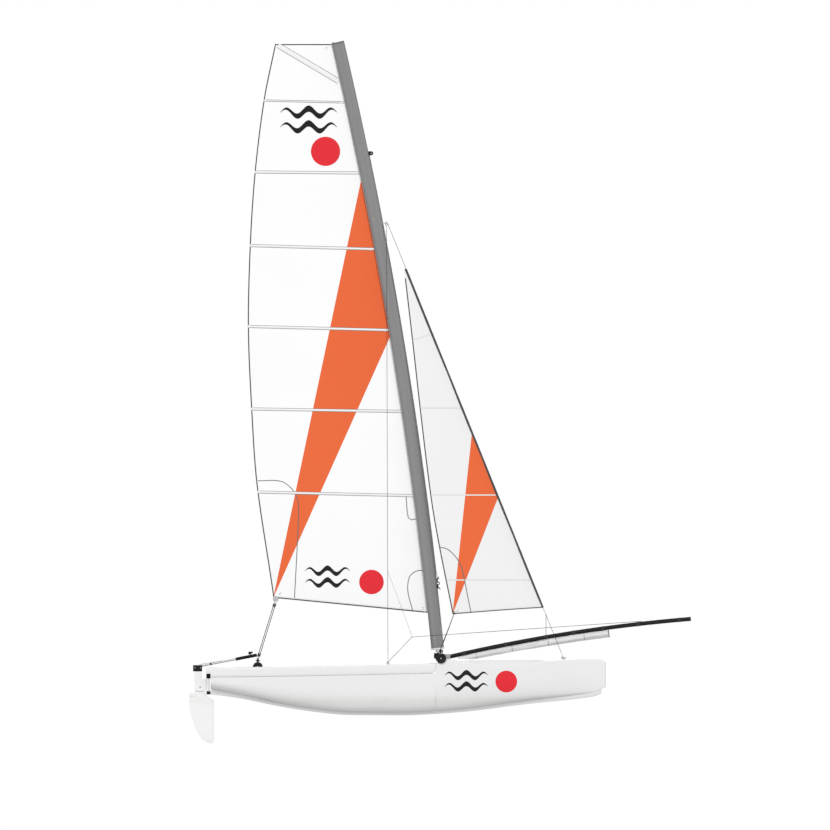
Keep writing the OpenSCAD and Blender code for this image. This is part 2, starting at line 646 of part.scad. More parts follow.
// Two round plates hold the sail's clew between them, with the pin of the sheet block below it
clew_plate_d = 60;
clew_plate_t = 3;
clew_pin_drop = 30;
module mainsheet_block() color([0.75, 0.76, 0.78]) {
    clew = main_at(0, 1);
    inward = main_at(0, 0.9) - clew;
    translate(clew + inward / norm(inward) * 26)
        rotate([90, 0, atan2(inward[1], inward[0])]) {
            for (s = [-1, 1])
                translate([0, -8, s * (sail_t / 2 + 0.8 + clew_plate_t / 2)])
                    cylinder(h = clew_plate_t, d = clew_plate_d, center = true);
            translate([0, -clew_pin_drop, 0])
                cylinder(h = sail_t + 2 * clew_plate_t + 1.6, d = 12, center = true);
        }
}

// ---- jib: swings on the forestay, drawn at its sheeted angle to starboard ----
jib_share = [[0, 1], [0.2, 0.85], [0.34, 0.728], [0.585, 0.471], [0.79, 0.247], [1, 0.02]];
jib_twist = 0.06;
stay_aft = [-stay_dir[2], 0, stay_dir[0]];
function jib_at(v, s) =
    let (zl = jib_tack_h + (jib_head_h - jib_tack_h) * v + base,
        ze = jib_clew_h + (jib_head_h - jib_clew_h) * v + base,
        breadth = smooth(jib_share, v) * jib_foot_l,
        luff = [stay_x(zl), 0, zl], leech = [stay_x(ze) - breadth, 0, ze],
        flat = (leech - luff) * s,
        up = flat * stay_dir, out = flat * stay_aft / cos(jib_angle) + wire_d / 2 + fit,
        lee = breadth * (jib_camber * belly(s) + jib_twist * v * s * s),
        turn = [stay_aft[0] * cos(jib_angle), -sin(jib_angle), stay_aft[2] * cos(jib_angle)],
        across = [-stay_aft[0] * sin(jib_angle), -cos(jib_angle), -stay_aft[2] * sin(jib_angle)])
    luff + up * stay_dir + out * turn + lee * across;
module jib() color([0.96, 0.96, 0.96]) {
    rows = 14;
    cols = 8;
    sheet_solid([for (i = [0:rows]) [for (j = [0:cols]) jib_at(i / rows, j / cols)]], [0, sail_t / 2, 0]);
}

// ---- rudders ----
gudgeon_r = 34; // upper gudgeon round the pin
heel_r = 18; // lower gudgeon round the pin
gudgeon_lo = stern_h - side_deck_t - 14;
gudgeon_hi = stern_h - overhang_t - 6;
heel_lo = bottom_h(transom_x) - keel_depth(transom_x);
heel_hi = blade_bolt_h - 42;
module gudgeons(y) {
    difference() {
        translate([pin_x, y, base]) {
            translate([0, 0, gudgeon_lo]) cylinder(h = gudgeon_hi - gudgeon_lo, r = gudgeon_r - 14);
            translate([0, -14, gudgeon_lo]) cube([pin_back - gap, 28, gudgeon_hi - gudgeon_lo]);
            translate([0, 0, heel_lo]) cylinder(h = heel_hi - heel_lo, r = heel_r);
            translate([0, -heel_r, heel_lo]) cube([pin_back - gap, 2 * heel_r, heel_hi - heel_lo]);
        }
        translate([pin_x, y, heel_lo - 1 + base]) cylinder(h = gudgeon_hi - heel_lo + 2, d = pin_d + 2 * fit);
    }
}
module port_gudgeons() color([0.2, 0.2, 0.2]) gudgeons(hull_y);
module starboard_gudgeons() color([0.2, 0.2, 0.2]) gudgeons(-hull_y);

stock_aft_x = pin_x - 146;
stock_fore_x = pin_x - 24;
cheek_t = (stock_w - blade_t - 4) / 2;
stock_lo = heel_hi + 3;
stock_hi = stern_h - 45;
stock_boss_r = 15;
module rudder_stock(y) {
    slot = blade_t + 4;
    translate([pin_x, y, base]) {
        difference() {
            union() {
                translate([stock_aft_x - pin_x, -stock_w / 2, stock_lo])
                    cube([stock_fore_x - stock_aft_x, stock_w, gudgeon_lo - 3 - stock_lo]);
                translate([stock_aft_x - pin_x, -stock_w / 2, gudgeon_lo - 4])
                    cube([80, stock_w, stock_hi - gudgeon_lo + 4]);
                translate([stock_fore_x - pin_x - 1, -stock_boss_r, stock_lo])
                    cube([1 - stock_fore_x + pin_x, 2 * stock_boss_r, gudgeon_lo - 3 - stock_lo]);
                translate([0, 0, stock_lo]) cylinder(h = gudgeon_lo - 3 - stock_lo, r = stock_boss_r);
            }
            // slot for the blade's head
            translate([stock_aft_x - pin_x - 1, -slot / 2, stock_lo - 1])
                cube([stock_fore_x - stock_aft_x - 9, slot, stock_hi - 20 - stock_lo]);
        }
        // bolt through both cheeks, for the blade
        translate([blade_bolt_x - pin_x, -stock_w / 2 - 4, blade_bolt_h])
            rotate([-90, 0, 0]) cylinder(h = stock_w + 8, d = bolt_d);
        translate([0, 0, heel_lo]) cylinder(h = gudgeon_hi - heel_lo, d = pin_d);
        // cap that the tiller arm is pushed into
        difference() {
            translate([stock_aft_x - pin_x - 14, -stock_w / 2, stock_hi])
                cube([96, stock_w, arm_low_h - stock_hi + 14]);
            translate([-pin_x, 0, 0]) arm_tube(arm_root_x + 25, arm_d + 2 * gap);
        }
    }
}
bolt_d = 12;
blade_bolt_x = pin_x - 85;
arm_low_h = 520;
module port_rudder_stock() color([0.97, 0.97, 0.97]) rudder_stock(hull_y);
module starboard_rudder_stock() color([0.97, 0.97, 0.97]) rudder_stock(-hull_y);

// Blade: a disc on the bolt between the cheeks, with a broad foil below them
blade_head_r = 45;
blade_fore_x = pin_x + 59;
blade_aft_x = pin_x - 201;
blade_tip_h = -298;
blade_outline = concat(
    [for (a = [-30:15:210]) [blade_bolt_x, blade_bolt_h] + blade_head_r * [cos(a), sin(a)]],
    [[blade_aft_x + 56, heel_hi - 6], [blade_aft_x + 8, heel_lo + 10], [blade_aft_x, heel_lo]],
    [[blade_aft_x, 120], [blade_aft_x + 6, 60], [blade_aft_x + 28, -30], [blade_aft_x + 53, -101],
        [blade_aft_x + 85, -181], [blade_aft_x + 136, -254], [blade_aft_x + 187, blade_tip_h + 7]],
    [[blade_fore_x - 36, blade_tip_h], [blade_fore_x - 10, blade_tip_h + 8]],
    [[blade_fore_x, blade_tip_h + 26], [blade_fore_x, 160],
        [blade_fore_x - 53, heel_lo - 30], [blade_fore_x - 82, heel_lo - 8]]);
module rudder_blade(y) {
    difference() {
        translate([0, y + blade_t / 2, base])
            rotate([90, 0, 0]) linear_extrude(blade_t) polygon(blade_outline);
        translate([blade_bolt_x, y - blade_t, blade_bolt_h + base])
            rotate([-90, 0, 0]) cylinder(h = 2 * blade_t, d = bolt_d + 2 * fit);
    }
}
module port_rudder_blade() color([0.97, 0.97, 0.97]) rudder_blade(hull_y);
module starboard_rudder_blade() color([0.97, 0.97, 0.97]) rudder_blade(-hull_y);

// ---- tiller arms, crossbar and extension ----
arm_root_x = pin_x - 100;
bar_back = 442; // from the rudder pins forward to the crossbar's pins
bar_x = pin_x + bar_back;
arm_end_x = bar_x + 75;
grip_d = 34;
grip_l = 225;
bar_d = 25;
arm_slope = (arm_end_h - arm_low_h) / (arm_end_x - arm_root_x);
function arm_h(x) = arm_low_h + arm_slope * (x - arm_root_x);
bar_h = arm_h(bar_x) + grip_d / 2 + 6 + bar_d / 2;
bar_pin_d = 8;
module arm_tube(x, d) rod([x, 0, arm_h(x)], [arm_end_x - grip_l, 0, arm_h(arm_end_x - grip_l)], d);
module tiller_arm(y) {
    translate([0, y, base]) {
        arm_tube(arm_root_x + 26, arm_d);
        rod([arm_end_x - grip_l, 0, arm_h(arm_end_x - grip_l)], [arm_end_x, 0, arm_end_h], grip_d);
        translate([bar_x, 0, arm_h(bar_x)]) cylinder(h = bar_h + bar_d / 2 + 6 - arm_h(bar_x), d = bar_pin_d);
    }
}
module port_tiller_arm() color([0.4, 0.4, 0.42]) tiller_arm(hull_y);
module starboard_tiller_arm() color([0.4, 0.4, 0.42]) tiller_arm(-hull_y);
module tiller_crossbar() color([0.3, 0.3, 0.31])
    translate([bar_x, 0, bar_h + base]) difference() {
        union() {
            rotate([-90, 0, 0]) cylinder(h = hull_spacing - 20, d = bar_d, center = true);
            for (s = [-1, 1]) translate([0, s * hull_y, 0]) cylinder(h = bar_d + 4, d = 30, center = true);
        }
        for (s = [-1, 1])
            translate([0, s * hull_y, 0]) cylinder(h = 2 * bar_d, d = bar_pin_d + 2 * fit, center = true);
    }
ext_d = 20;
ext_clear = 80; // from the port end of the extension to the middle of that hull
ext_lift = 6;
ext_fore = sqrt(pow(bar_d / 2 + ext_d / 2 + gap, 2) - ext_lift * ext_lift);
module tiller_extension() color([0.15, 0.15, 0.15])
    translate([bar_x + ext_fore, hull_y - ext_clear - extension_l, bar_h + ext_lift + base])
        rotate([-90, 0, 0]) cylinder(h = extension_l, d = ext_d);

port_hull();
starboard_hull();
port_keel();
starboard_keel();
port_side_deck();
starboard_side_deck();
front_crossbeam();
rear_crossbeam();
front_beam_caps();
rear_beam_caps();
mast_step();
dolphin_striker();
trampoline();
toe_straps();
port_shroud();
starboard_shroud();
shroud_plates();
hounds_swivel();
forestay();
bow_bridle();
bridle_plates();
bowsprit_pole();
pole_socket();
pole_strop();
gennaker_chute();
chute_hoop();
mainsheet_track();
traveller_car();
port_gudgeons();
starboard_gudgeons();
hatch_covers();
jib_sheet_blocks();
mast();
mast_foot();
mast_head();
hounds_tang();
gennaker_block();
mainsail();
mainsheet_block();
jib();
port_rudder_stock();
starboard_rudder_stock();
port_tiller_arm();
starboard_tiller_arm();
port_rudder_blade();
starboard_rudder_blade();
tiller_crossbar();
tiller_extension();
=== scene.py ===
import math

import bmesh
import bpy
from mathutils import Matrix, Vector
from mathutils.bvhtree import BVHTree


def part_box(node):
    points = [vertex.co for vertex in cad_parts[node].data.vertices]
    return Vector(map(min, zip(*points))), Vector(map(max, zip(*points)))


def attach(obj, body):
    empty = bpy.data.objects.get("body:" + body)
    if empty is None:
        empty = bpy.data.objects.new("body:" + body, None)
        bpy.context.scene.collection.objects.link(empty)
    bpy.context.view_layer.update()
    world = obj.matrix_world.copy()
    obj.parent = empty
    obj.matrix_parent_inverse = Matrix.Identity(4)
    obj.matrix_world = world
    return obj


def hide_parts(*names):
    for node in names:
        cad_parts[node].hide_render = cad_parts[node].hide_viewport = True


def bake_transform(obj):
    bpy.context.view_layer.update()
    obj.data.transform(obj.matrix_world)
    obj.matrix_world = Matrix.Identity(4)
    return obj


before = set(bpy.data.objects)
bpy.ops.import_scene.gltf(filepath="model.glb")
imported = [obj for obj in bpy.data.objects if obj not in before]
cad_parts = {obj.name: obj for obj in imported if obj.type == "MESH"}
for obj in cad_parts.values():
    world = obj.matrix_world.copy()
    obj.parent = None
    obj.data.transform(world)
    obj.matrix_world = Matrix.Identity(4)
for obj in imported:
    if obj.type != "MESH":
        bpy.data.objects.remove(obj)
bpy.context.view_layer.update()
platform, rig, jib_sail, crossbar = "platform", "mast_and_mainsail", "jib_sail", "crossbar"

# Metres, with the water at z = 0. Heights named _h count from the underside of the keels.
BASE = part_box("port_keel")[0].z
HULL_Y = (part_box("port_hull")[0].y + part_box("port_hull")[1].y) / 2
HALF_BREADTH = 0.188
TRANSOM_X, BOW_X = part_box("port_hull")[0].x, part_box("port_hull")[1].x
STERN_X, STEP_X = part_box("port_side_deck")[0].x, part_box("port_side_deck")[1].x
FRONT_BEAM = sum(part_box("front_crossbeam"), Vector()) / 2
REAR_BEAM = sum(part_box("rear_crossbeam"), Vector()) / 2
BEAM_R = (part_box("front_crossbeam")[1].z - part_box("front_crossbeam")[0].z) / 2
SIDES = {"port": 1, "starboard": -1}


# ------------------------------------------------------------------------ shapes
def curve_through(points, step):
    """Points about step apart on a smooth curve through a few chosen ones."""
    points = [Vector(p) for p in points]
    ends = [2 * points[0] - points[1], *points, 2 * points[-1] - points[-2]]
    made = []
    for a, b, c, d in zip(ends, ends[1:], ends[2:], ends[3:]):
        count = max(1, round((c - b).length / step))
        for i in range(count):
            t = i / count
            made.append(0.5 * (2 * b + (c - a) * t + (2 * a - 5 * b + 4 * c - d) * t * t
                               + (3 * b - a - 3 * c + d) * t ** 3))
    return made + [points[-1]]


def turns(count):
    """Angles that part a full turn evenly."""
    return [math.tau * k / count for k in range(count)]


def straight(a, b, step):
    a, b = Vector(a), Vector(b)
    count = max(1, round((b - a).length / step))
    return [a.lerp(b, i / count) for i in range(count + 1)]


def skin(rings, ends=True):
    """Faces between rings of points, with both ends closed."""
    m = len(rings[0])
    points = [p for ring in rings for p in ring]
    faces = [(i * m + j, i * m + (j + 1) % m, (i + 1) * m + (j + 1) % m, (i + 1) * m + j)
             for i in range(len(rings) - 1) for j in range(m)]
    if ends:
        last = (len(rings) - 1) * m
        faces += [tuple(range(m - 1, -1, -1)), tuple(range(last, last + m))]
    return points, faces


def grid(rows):
    """Faces between rows of points."""
    m = len(rows[0])
    faces = [(i * m + j, i * m + j + 1, (i + 1) * m + j + 1, (i + 1) * m + j)
             for i in range(len(rows) - 1) for j in range(m - 1)]
    return [p for row in rows for p in row], faces


def tube(path, radius, sides=10, strands=0, lay=0.045, closed=False):
    """A round tube along a path. With strands it is laid like a wire rope."""
    path = [Vector(p) for p in path]
    count = len(path)
    side = None
    run = 0.0
    rings = []
    for i, p in enumerate(path):
        ahead = path[(i + 1) % count] if closed or i + 1 < count else p
        behind = path[i - 1] if closed or i else p
        along = (ahead - behind).normalized()
        side = along.orthogonal() if side is None else side - along * side.dot(along)
        side.normalize()
        up = along.cross(side)
        run += (p - path[i - 1]).length if i else 0
        size = radius[i] if isinstance(radius, (list, tuple)) else radius
        ring = []
        for j in range(sides):
            turn = math.tau * j / sides
            dip = 0.11 * (1 - math.cos(strands * (turn - math.tau * run / lay))) if strands else 0
            ring.append(p + (side * math.cos(turn) + up * math.sin(turn)) * size * (1 - dip))
        rings.append(ring)
    if closed:
        rings.append(rings[0])
    return skin(rings, ends=not closed)


def turned(profile, sides=32):
    """A profile of (radius, height) turned about the z axis."""
    return skin([[Vector((max(r, 1e-5) * math.cos(a), max(r, 1e-5) * math.sin(a), h))
                  for a in turns(sides)] for r, h in profile])


def grown(outline, d):
    """A closed outline moved outwards by d."""
    made = []
    for i, p in enumerate(outline):
        a = (Vector(p) - Vector(outline[i - 1])).normalized()
        b = (Vector(outline[(i + 1) % len(outline)]) - Vector(p)).normalized()
        out = Vector((a.y + b.y, -a.x - b.x)).normalized()
        made.append(Vector(p) + out * d / max(0.5, out.dot(Vector((a.y, -a.x)))))
    return made


def plate(outline, thickness, edge=0.001):
    """A flat plate with rounded edges, cut to an outline that runs anticlockwise."""
    half = thickness / 2
    steps = [(-edge, -half), (-edge * 0.3, -half + edge * 0.3), (0, edge - half)]
    steps += [(d, -h) for d, h in reversed(steps)]
    return skin([[Vector((p.x, p.y, h)) for p in grown(outline, d)] for d, h in steps])


def box_outline(w, l, r, steps=4):
    """A rectangle's outline with round corners."""
    made = []
    for k, (sx, sy) in enumerate(((1, 1), (-1, 1), (-1, -1), (1, -1))):
        for i in range(steps + 1):
            a = math.pi / 2 * (k + i / steps)
            made.append(Vector((sx * (w / 2 - r) + r * math.cos(a), sy * (l / 2 - r) + r * math.sin(a))))
    return made


def block(w, l, h, r=0.004):
    return plate(box_outline(w, l, r), h, min(r, h / 3))


def placed(at, axis=(0, 0, 1), face=(1, 0, 0)):
    """A matrix that stands a shape's z axis along axis, with its x axis towards face."""
    z = Vector(axis).normalized()
    x = Vector(face) - z * Vector(face).dot(z)
    x = x.normalized() if x.length > 1e-6 else z.orthogonal().normalized()
    return Matrix.Translation(at) @ Matrix((x, z.cross(x), z)).transposed().to_4x4()


class Shape:
    """Points and faces that become one piece. Each face has a finish number."""

    def __init__(self):
        self.points, self.faces, self.finish = [], [], []

    def add(self, made, finish=0, at=None):
        points, faces = made
        first = len(self.points)
        self.points += [at @ Vector(p) for p in points] if at else [Vector(p) for p in points]
        self.faces += [tuple(first + i for i in face) for face in faces]
        self.finish += [finish] * len(faces) if isinstance(finish, int) else list(finish)
        return self

    def piece(self, name, body, slot, finishes, stands_for=(), sharp=38, thickness=0):
        mesh = bpy.data.meshes.new(name)
        mesh.from_pydata(self.points, [], self.faces)
        for finish in finishes:
            mesh.materials.append(finish)
        mesh.polygons.foreach_set("material_index", self.finish)
        shape = bmesh.new()
        shape.from_mesh(mesh)
        bmesh.ops.remove_doubles(shape, verts=shape.verts, dist=2e-5)
        if not thickness:
            bmesh.ops.recalc_face_normals(shape, faces=shape.faces)
        shape.to_mesh(mesh)
        shape.free()
        return finished(bpy.data.objects.new(name, mesh), body, stands_for, sharp, thickness)


def finished(obj, body, stands_for=(), sharp=38, thickness=0):
    """Puts a piece in the scene on its body, smooth but for its sharp edges."""
    bpy.context.scene.collection.objects.link(obj)
    obj.data.polygons.foreach_set("use_smooth", [True] * len(obj.data.polygons))
    obj.data.set_sharp_from_angle(angle=math.radians(sharp))
    if thickness:
        cloth = obj.modifiers.new("cloth_thickness", "SOLIDIFY")
        cloth.thickness, cloth.offset = thickness, 0
    if body:
        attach(obj, body)
    if stands_for:
        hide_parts(*stands_for)
    return obj


# ------------------------------------------------------------------------ finishes
def add_node(tree, kind, links=None, **settings):
    """A node with its settings, its sockets given numbers or linked to others' outputs."""
    made = tree.nodes.new("ShaderNode" + kind)
    for key, value in settings.items():
        setattr(made, key, value)
    for socket, source in (links or {}).items():
        if isinstance(source, bpy.types.NodeSocket):
            tree.links.new(source, made.inputs[socket])
        else:
            made.inputs[socket].default_value = source
    return made


def maths(tree, operation, a, b=0.0, c=0.0):
    return add_node(tree, "Math", {0: a, 1: b, 2: c}, operation=operation).outputs[0]


def own_place(tree):
    """Where a point is on its piece, in metres."""
    return add_node(tree, "TexCoord").outputs["Object"]


def profile_place(tree, turn=0.0):
    """The same, tipped up so that a weave lies over x and z, and turned in its own plane."""
    tipped = {"Vector": own_place(tree), "Rotation": (math.pi / 2, 0, turn)}
    return add_node(tree, "Mapping", tipped).outputs[0]


def effect(name, inputs, outputs):
    """An empty node group with named sockets: its tree, its inputs and its output node."""
    tree = bpy.data.node_groups.new(name, "ShaderNodeTree")
    for label, value in inputs.items():
        kind = "NodeSocketVector" if isinstance(value, tuple) else "NodeSocketFloat"
        tree.interface.new_socket(label, in_out="INPUT", socket_type=kind).default_value = value
    for label in outputs:
        tree.interface.new_socket(label, in_out="OUTPUT", socket_type="NodeSocketFloat")
    return tree, tree.nodes.new("NodeGroupInput").outputs, tree.nodes.new("NodeGroupOutput").inputs


def make_grain():
    """Cloudy or drawn-out grain, by how far Stretch pulls it along each axis."""
    tree, given, out = effect("grain", {"Scale": 10.0, "Stretch": (1.0, 1.0, 1.0)}, ["Value"])
    place = own_place(tree)
    drawn = add_node(tree, "VectorMath", {0: place, 1: given["Stretch"]}, operation="MULTIPLY").outputs[0]
    noise = add_node(tree, "TexNoise", {"Vector": drawn, "Scale": given["Scale"], "Detail": 4.0})
    tree.links.new(noise.outputs["Fac"], out["Value"])
    return tree


def make_weave():
    """Plain weave over the x and y of Place, with Threads to the metre."""
    tree, given, out = effect("weave", {"Place": (0.0, 0.0, 0.0), "Threads": 500.0}, ["Height", "Holes"])
    split = add_node(tree, "SeparateXYZ", {0: given["Place"]}).outputs
    pace = maths(tree, "MULTIPLY", given["Threads"], math.pi)
    waves = [maths(tree, "SINE", maths(tree, "MULTIPLY", split[k], pace)) for k in (0, 1)]
    crossed = maths(tree, "MULTIPLY", waves[0], waves[1])
    tree.links.new(maths(tree, "MULTIPLY_ADD", crossed, 0.5, 0.5), out["Height"])
    gaps = maths(tree, "MAXIMUM", maths(tree, "ABSOLUTE", waves[0]), maths(tree, "ABSOLUTE", waves[1]))
    tree.links.new(maths(tree, "LESS_THAN", gaps, 0.55), out["Holes"])
    return tree


def make_edge_wear():
    """A broken mask along the piece's convex edges."""
    tree, given, out = effect("edge_wear", {"Reach": 0.06, "Breaks": 60.0}, ["Mask"])
    bend = add_node(tree, "NewGeometry").outputs["Pointiness"]
    top = maths(tree, "ADD", given["Reach"], 0.5)
    rim = add_node(tree, "MapRange", {"Value": bend, "From Min": 0.52, "From Max": top}).outputs[0]
    place = own_place(tree)
    noise = add_node(tree, "TexNoise", {"Vector": place, "Scale": given["Breaks"], "Detail": 3.0})
    broken = maths(tree, "GREATER_THAN", noise.outputs["Fac"], 0.5)
    tree.links.new(maths(tree, "MULTIPLY", rim, broken), out["Mask"])
    return tree


def make_water_stain():
    """Faint scum that gathers at the waterline and runs down in streaks."""
    tree, given, out = effect("water_stain", {"Height": 0.05}, ["Mask"])
    place = own_place(tree)
    drawn = add_node(tree, "VectorMath", {0: place, 1: (22.0, 22.0, 3.0)}, operation="MULTIPLY").outputs[0]
    streaks = add_node(tree, "TexNoise", {"Vector": drawn, "Scale": 1.0, "Detail": 5.0}).outputs["Fac"]
    height = add_node(tree, "SeparateXYZ", {0: place}).outputs[2]
    away = maths(tree, "DIVIDE", maths(tree, "ABSOLUTE", height), given["Height"])
    near = maths(tree, "SUBTRACT", 1.0, away)
    near = add_node(tree, "Clamp", {0: near}).outputs[0]
    tree.links.new(maths(tree, "MULTIPLY", near, streaks), out["Mask"])
    return tree


GRAIN, WEAVE, EDGE_WEAR, WATER_STAIN = make_grain(), make_weave(), make_edge_wear(), make_water_stain()


def use(tree, group, **values):
    """Places a node group in a material with its own values."""
    made = tree.nodes.new("ShaderNodeGroup")
    made.node_tree = group
    for label, value in values.items():
        if isinstance(value, bpy.types.NodeSocket):
            tree.links.new(value, made.inputs[label])
        else:
            made.inputs[label].default_value = value
    return made.outputs


def grain(tree, scale, stretch=(1.0, 1.0, 1.0)):
    """The grain effect's value, from 0 to 1."""
    return use(tree, GRAIN, Scale=scale, Stretch=stretch)["Value"]


def blended(tree, mask, a, b):
    """Colour a where the mask is 0, b where it is 1."""
    mix = add_node(tree, "Mix", data_type="RGBA")
    tree.links.new(mask, mix.inputs["Factor"])
    for socket, value in zip([s for s in mix.inputs if s.type == "RGBA"], (a, b)):
        if isinstance(value, bpy.types.NodeSocket):
            tree.links.new(value, socket)
        else:
            socket.default_value = (*value, 1)
    return [s for s in mix.outputs if s.type == "RGBA"][0]


def shader(name, **numbers):
    """A material with its Principled shader, whose plain numbers are set on its own sockets."""
    material = bpy.data.materials.new(name)
    material.use_nodes = True
    tree = material.node_tree
    surface = tree.nodes["Principled BSDF"]
    for label, value in numbers.items():
        surface.inputs[label.replace("_", " ")].default_value = value
    return material, tree, surface


def wire_up(tree, surface, colour=None, roughness=None, height=None, bump=0.001, strength=1.0):
    """Feeds the shader its colour, roughness and a bump of the height given in metres."""
    if colour is not None:
        tree.links.new(colour, surface.inputs["Base Color"])
    if roughness is not None:
        tree.links.new(roughness, surface.inputs["Roughness"])
    if height is not None:
        raised = add_node(tree, "Bump", {"Height": height, "Distance": bump, "Strength": strength})
        tree.links.new(raised.outputs[0], surface.inputs["Normal"])


def spread(tree, value, low, high):
    """A value from 0 to 1 spread from low to high."""
    return add_node(tree, "MapRange", {"Value": value, "To Min": low, "To Max": high}).outputs[0]


def shade(colour, share):
    return tuple(c * share for c in colour)


def mottled(tree, value, colour, low, high=1.0):
    """The colour, shaded from low to high as the value goes from 0 to 1."""
    return blended(tree, spread(tree, value, 0.0, 1.0), shade(colour, low), shade(colour, high))


def gelcoat(name, colour, tread=False):
    """Moulded hull skin: a little orange peel, hand-polished patches and a faint water stain."""
    material, tree, surface = shader(name, Coat_Weight=0.0 if tread else 0.35, Coat_Roughness=0.12)
    clouds = grain(tree, 2.2)
    tint = mottled(tree, clouds, colour, 0.965)
    stain = use(tree, WATER_STAIN, Height=0.06)["Mask"]
    tint = blended(tree, spread(tree, stain, 0.0, 0.3), tint, (0.52, 0.5, 0.4))
    worn = use(tree, EDGE_WEAR, Reach=0.08, Breaks=40.0)["Mask"]
    tint = blended(tree, spread(tree, worn, 0.0, 0.35), tint, (0.62, 0.61, 0.58))
    if tread:
        pips = add_node(tree, "TexVoronoi", {"Vector": own_place(tree), "Scale": 170.0, "Randomness": 0.25})
        height = maths(tree, "SUBTRACT", 1.0, maths(tree, "MULTIPLY", pips.outputs["Distance"], 1.6))
        wire_up(tree, surface, tint, spread(tree, clouds, 0.5, 0.62), height, 0.0009)
    else:
        peel = grain(tree, 260.0)
        wire_up(tree, surface, tint, spread(tree, clouds, 0.2, 0.32), peel, 0.0003, 0.25)
    return material


def drawn_metal(name, colour, rough, stretch, metallic=0.85, wear=(0.7, 0.7, 0.7), shine=0.5):
    """Anodised or polished metal with fine die lines along its length and scuffs across it."""
    material, tree, surface = shader(name, Metallic=metallic, Specular_IOR_Level=shine)
    lines = grain(tree, 420.0, stretch)
    clouds = grain(tree, 5.0)
    tint = mottled(tree, lines, colour, 0.93, 1.07)
    tint = blended(tree, spread(tree, clouds, 0.0, 0.25), tint, shade(colour, 0.8))
    scuffs = grain(tree, 38.0, tuple(3 - 2 * k for k in stretch))
    scuffed = spread(tree, maths(tree, "GREATER_THAN", scuffs, 0.68), 0.0, 0.12)
    tint = blended(tree, scuffed, tint, wear)
    wire_up(tree, surface, tint, spread(tree, lines, rough, rough + 0.16), lines, 0.0002, 0.25)
    return material


def moulded(name, colour, rough=0.42):
    """Moulded plastic with a fine spark-eroded grain and specks of dust."""
    material, tree, surface = shader(name, Specular_IOR_Level=0.2)
    pits = grain(tree, 900.0)
    clouds = grain(tree, 14.0)
    tint = mottled(tree, clouds, colour, 0.86, 1.1)
    dust = grain(tree, 60.0)
    paler = tuple(c + (0.5 - c) * 0.1 for c in colour)
    tint = blended(tree, spread(tree, maths(tree, "GREATER_THAN", dust, 0.66), 0.0, 0.25), tint, paler)
    wire_up(tree, surface, tint, spread(tree, clouds, rough, rough + 0.14), pits, 0.0002, 0.5)
    return material


def sailcloth(name, colour, threads=900.0):
    """Resin-filled woven polyester: crisp, a little sheen, handling creases."""
    material, tree, surface = shader(name, Sheen_Weight=0.15, Sheen_Roughness=0.4)
    woven = use(tree, WEAVE, Place=profile_place(tree), Threads=threads)["Height"]
    clouds = grain(tree, 1.6)
    creases = grain(tree, 7.0, (1.0, 1.0, 0.35))
    tint = mottled(tree, clouds, colour, 0.97)
    tint = blended(tree, spread(tree, woven, 0.0, 0.12), tint, shade(colour, 0.8))
    height = maths(tree, "MULTIPLY_ADD", woven, 0.06, creases)
    wire_up(tree, surface, tint, spread(tree, clouds, 0.5, 0.62), height, 0.0035, 0.35)
    return material


def webbing(name, colour, threads=420.0, rough=0.75):
    """Coarse woven tape."""
    material, tree, surface = shader(name, Sheen_Weight=0.2)
    woven = use(tree, WEAVE, Place=own_place(tree), Threads=threads)["Height"]
    clouds = grain(tree, 9.0)
    tint = blended(tree, woven, shade(colour, 0.7), shade(colour, 1.15))
    wire_up(tree, surface, tint, spread(tree, clouds, rough, rough + 0.12), woven, 0.0008)
    return material


def tramp_mesh(name):
    """Open-weave black mesh with painted shade filling its holes, dusty with dried salt."""
    material, tree, surface = shader(name, Sheen_Weight=0.25)
    woven = use(tree, WEAVE, Place=own_place(tree), Threads=230.0)
    salt = grain(tree, 6.0)
    tint = blended(tree, spread(tree, salt, 0.0, 1.0), (0.018, 0.018, 0.02), (0.055, 0.055, 0.058))
    # Painted shade: the holes of the weave are not open. They are coloured near-black for the shade seen
    # through them.
    tint = blended(tree, woven["Holes"], tint, (0.002, 0.002, 0.002))
    wire_up(tree, surface, tint, spread(tree, salt, 0.6, 0.8), woven["Height"], 0.0012)
    return material


def ripstop(name, colour):
    """Light coated cloth with a grid of thicker threads."""
    material, tree, surface = shader(name, Sheen_Weight=0.2)
    squares = use(tree, WEAVE, Place=profile_place(tree), Threads=160.0)["Holes"]
    clouds = grain(tree, 8.0)
    creases = grain(tree, 26.0, (0.5, 1.0, 1.0))
    tint = mottled(tree, clouds, colour, 0.93)
    tint = blended(tree, spread(tree, squares, 0.0, 0.1), tint, shade(colour, 0.7))
    height = maths(tree, "MULTIPLY_ADD", squares, 0.05, creases)
    wire_up(tree, surface, tint, spread(tree, clouds, 0.42, 0.55), height, 0.004, 0.6)
    return material


def braid(name, colour, fleck):
    """Braided polyester rope with flecks of a second colour."""
    material, tree, surface = shader(name, Sheen_Weight=0.1, Specular_IOR_Level=0.2)
    pairs = add_node(tree, "TexVoronoi", {"Vector": own_place(tree), "Scale": 420.0, "Randomness": 0.6})
    spots = grain(tree, 190.0)
    dots = maths(tree, "GREATER_THAN", spots, 0.6)
    tint = blended(tree, dots, colour, fleck)
    height = maths(tree, "SUBTRACT", 1.0, pairs.outputs["Distance"])
    wire_up(tree, surface, tint, spread(tree, spots, 0.6, 0.8), height, 0.001)
    return material


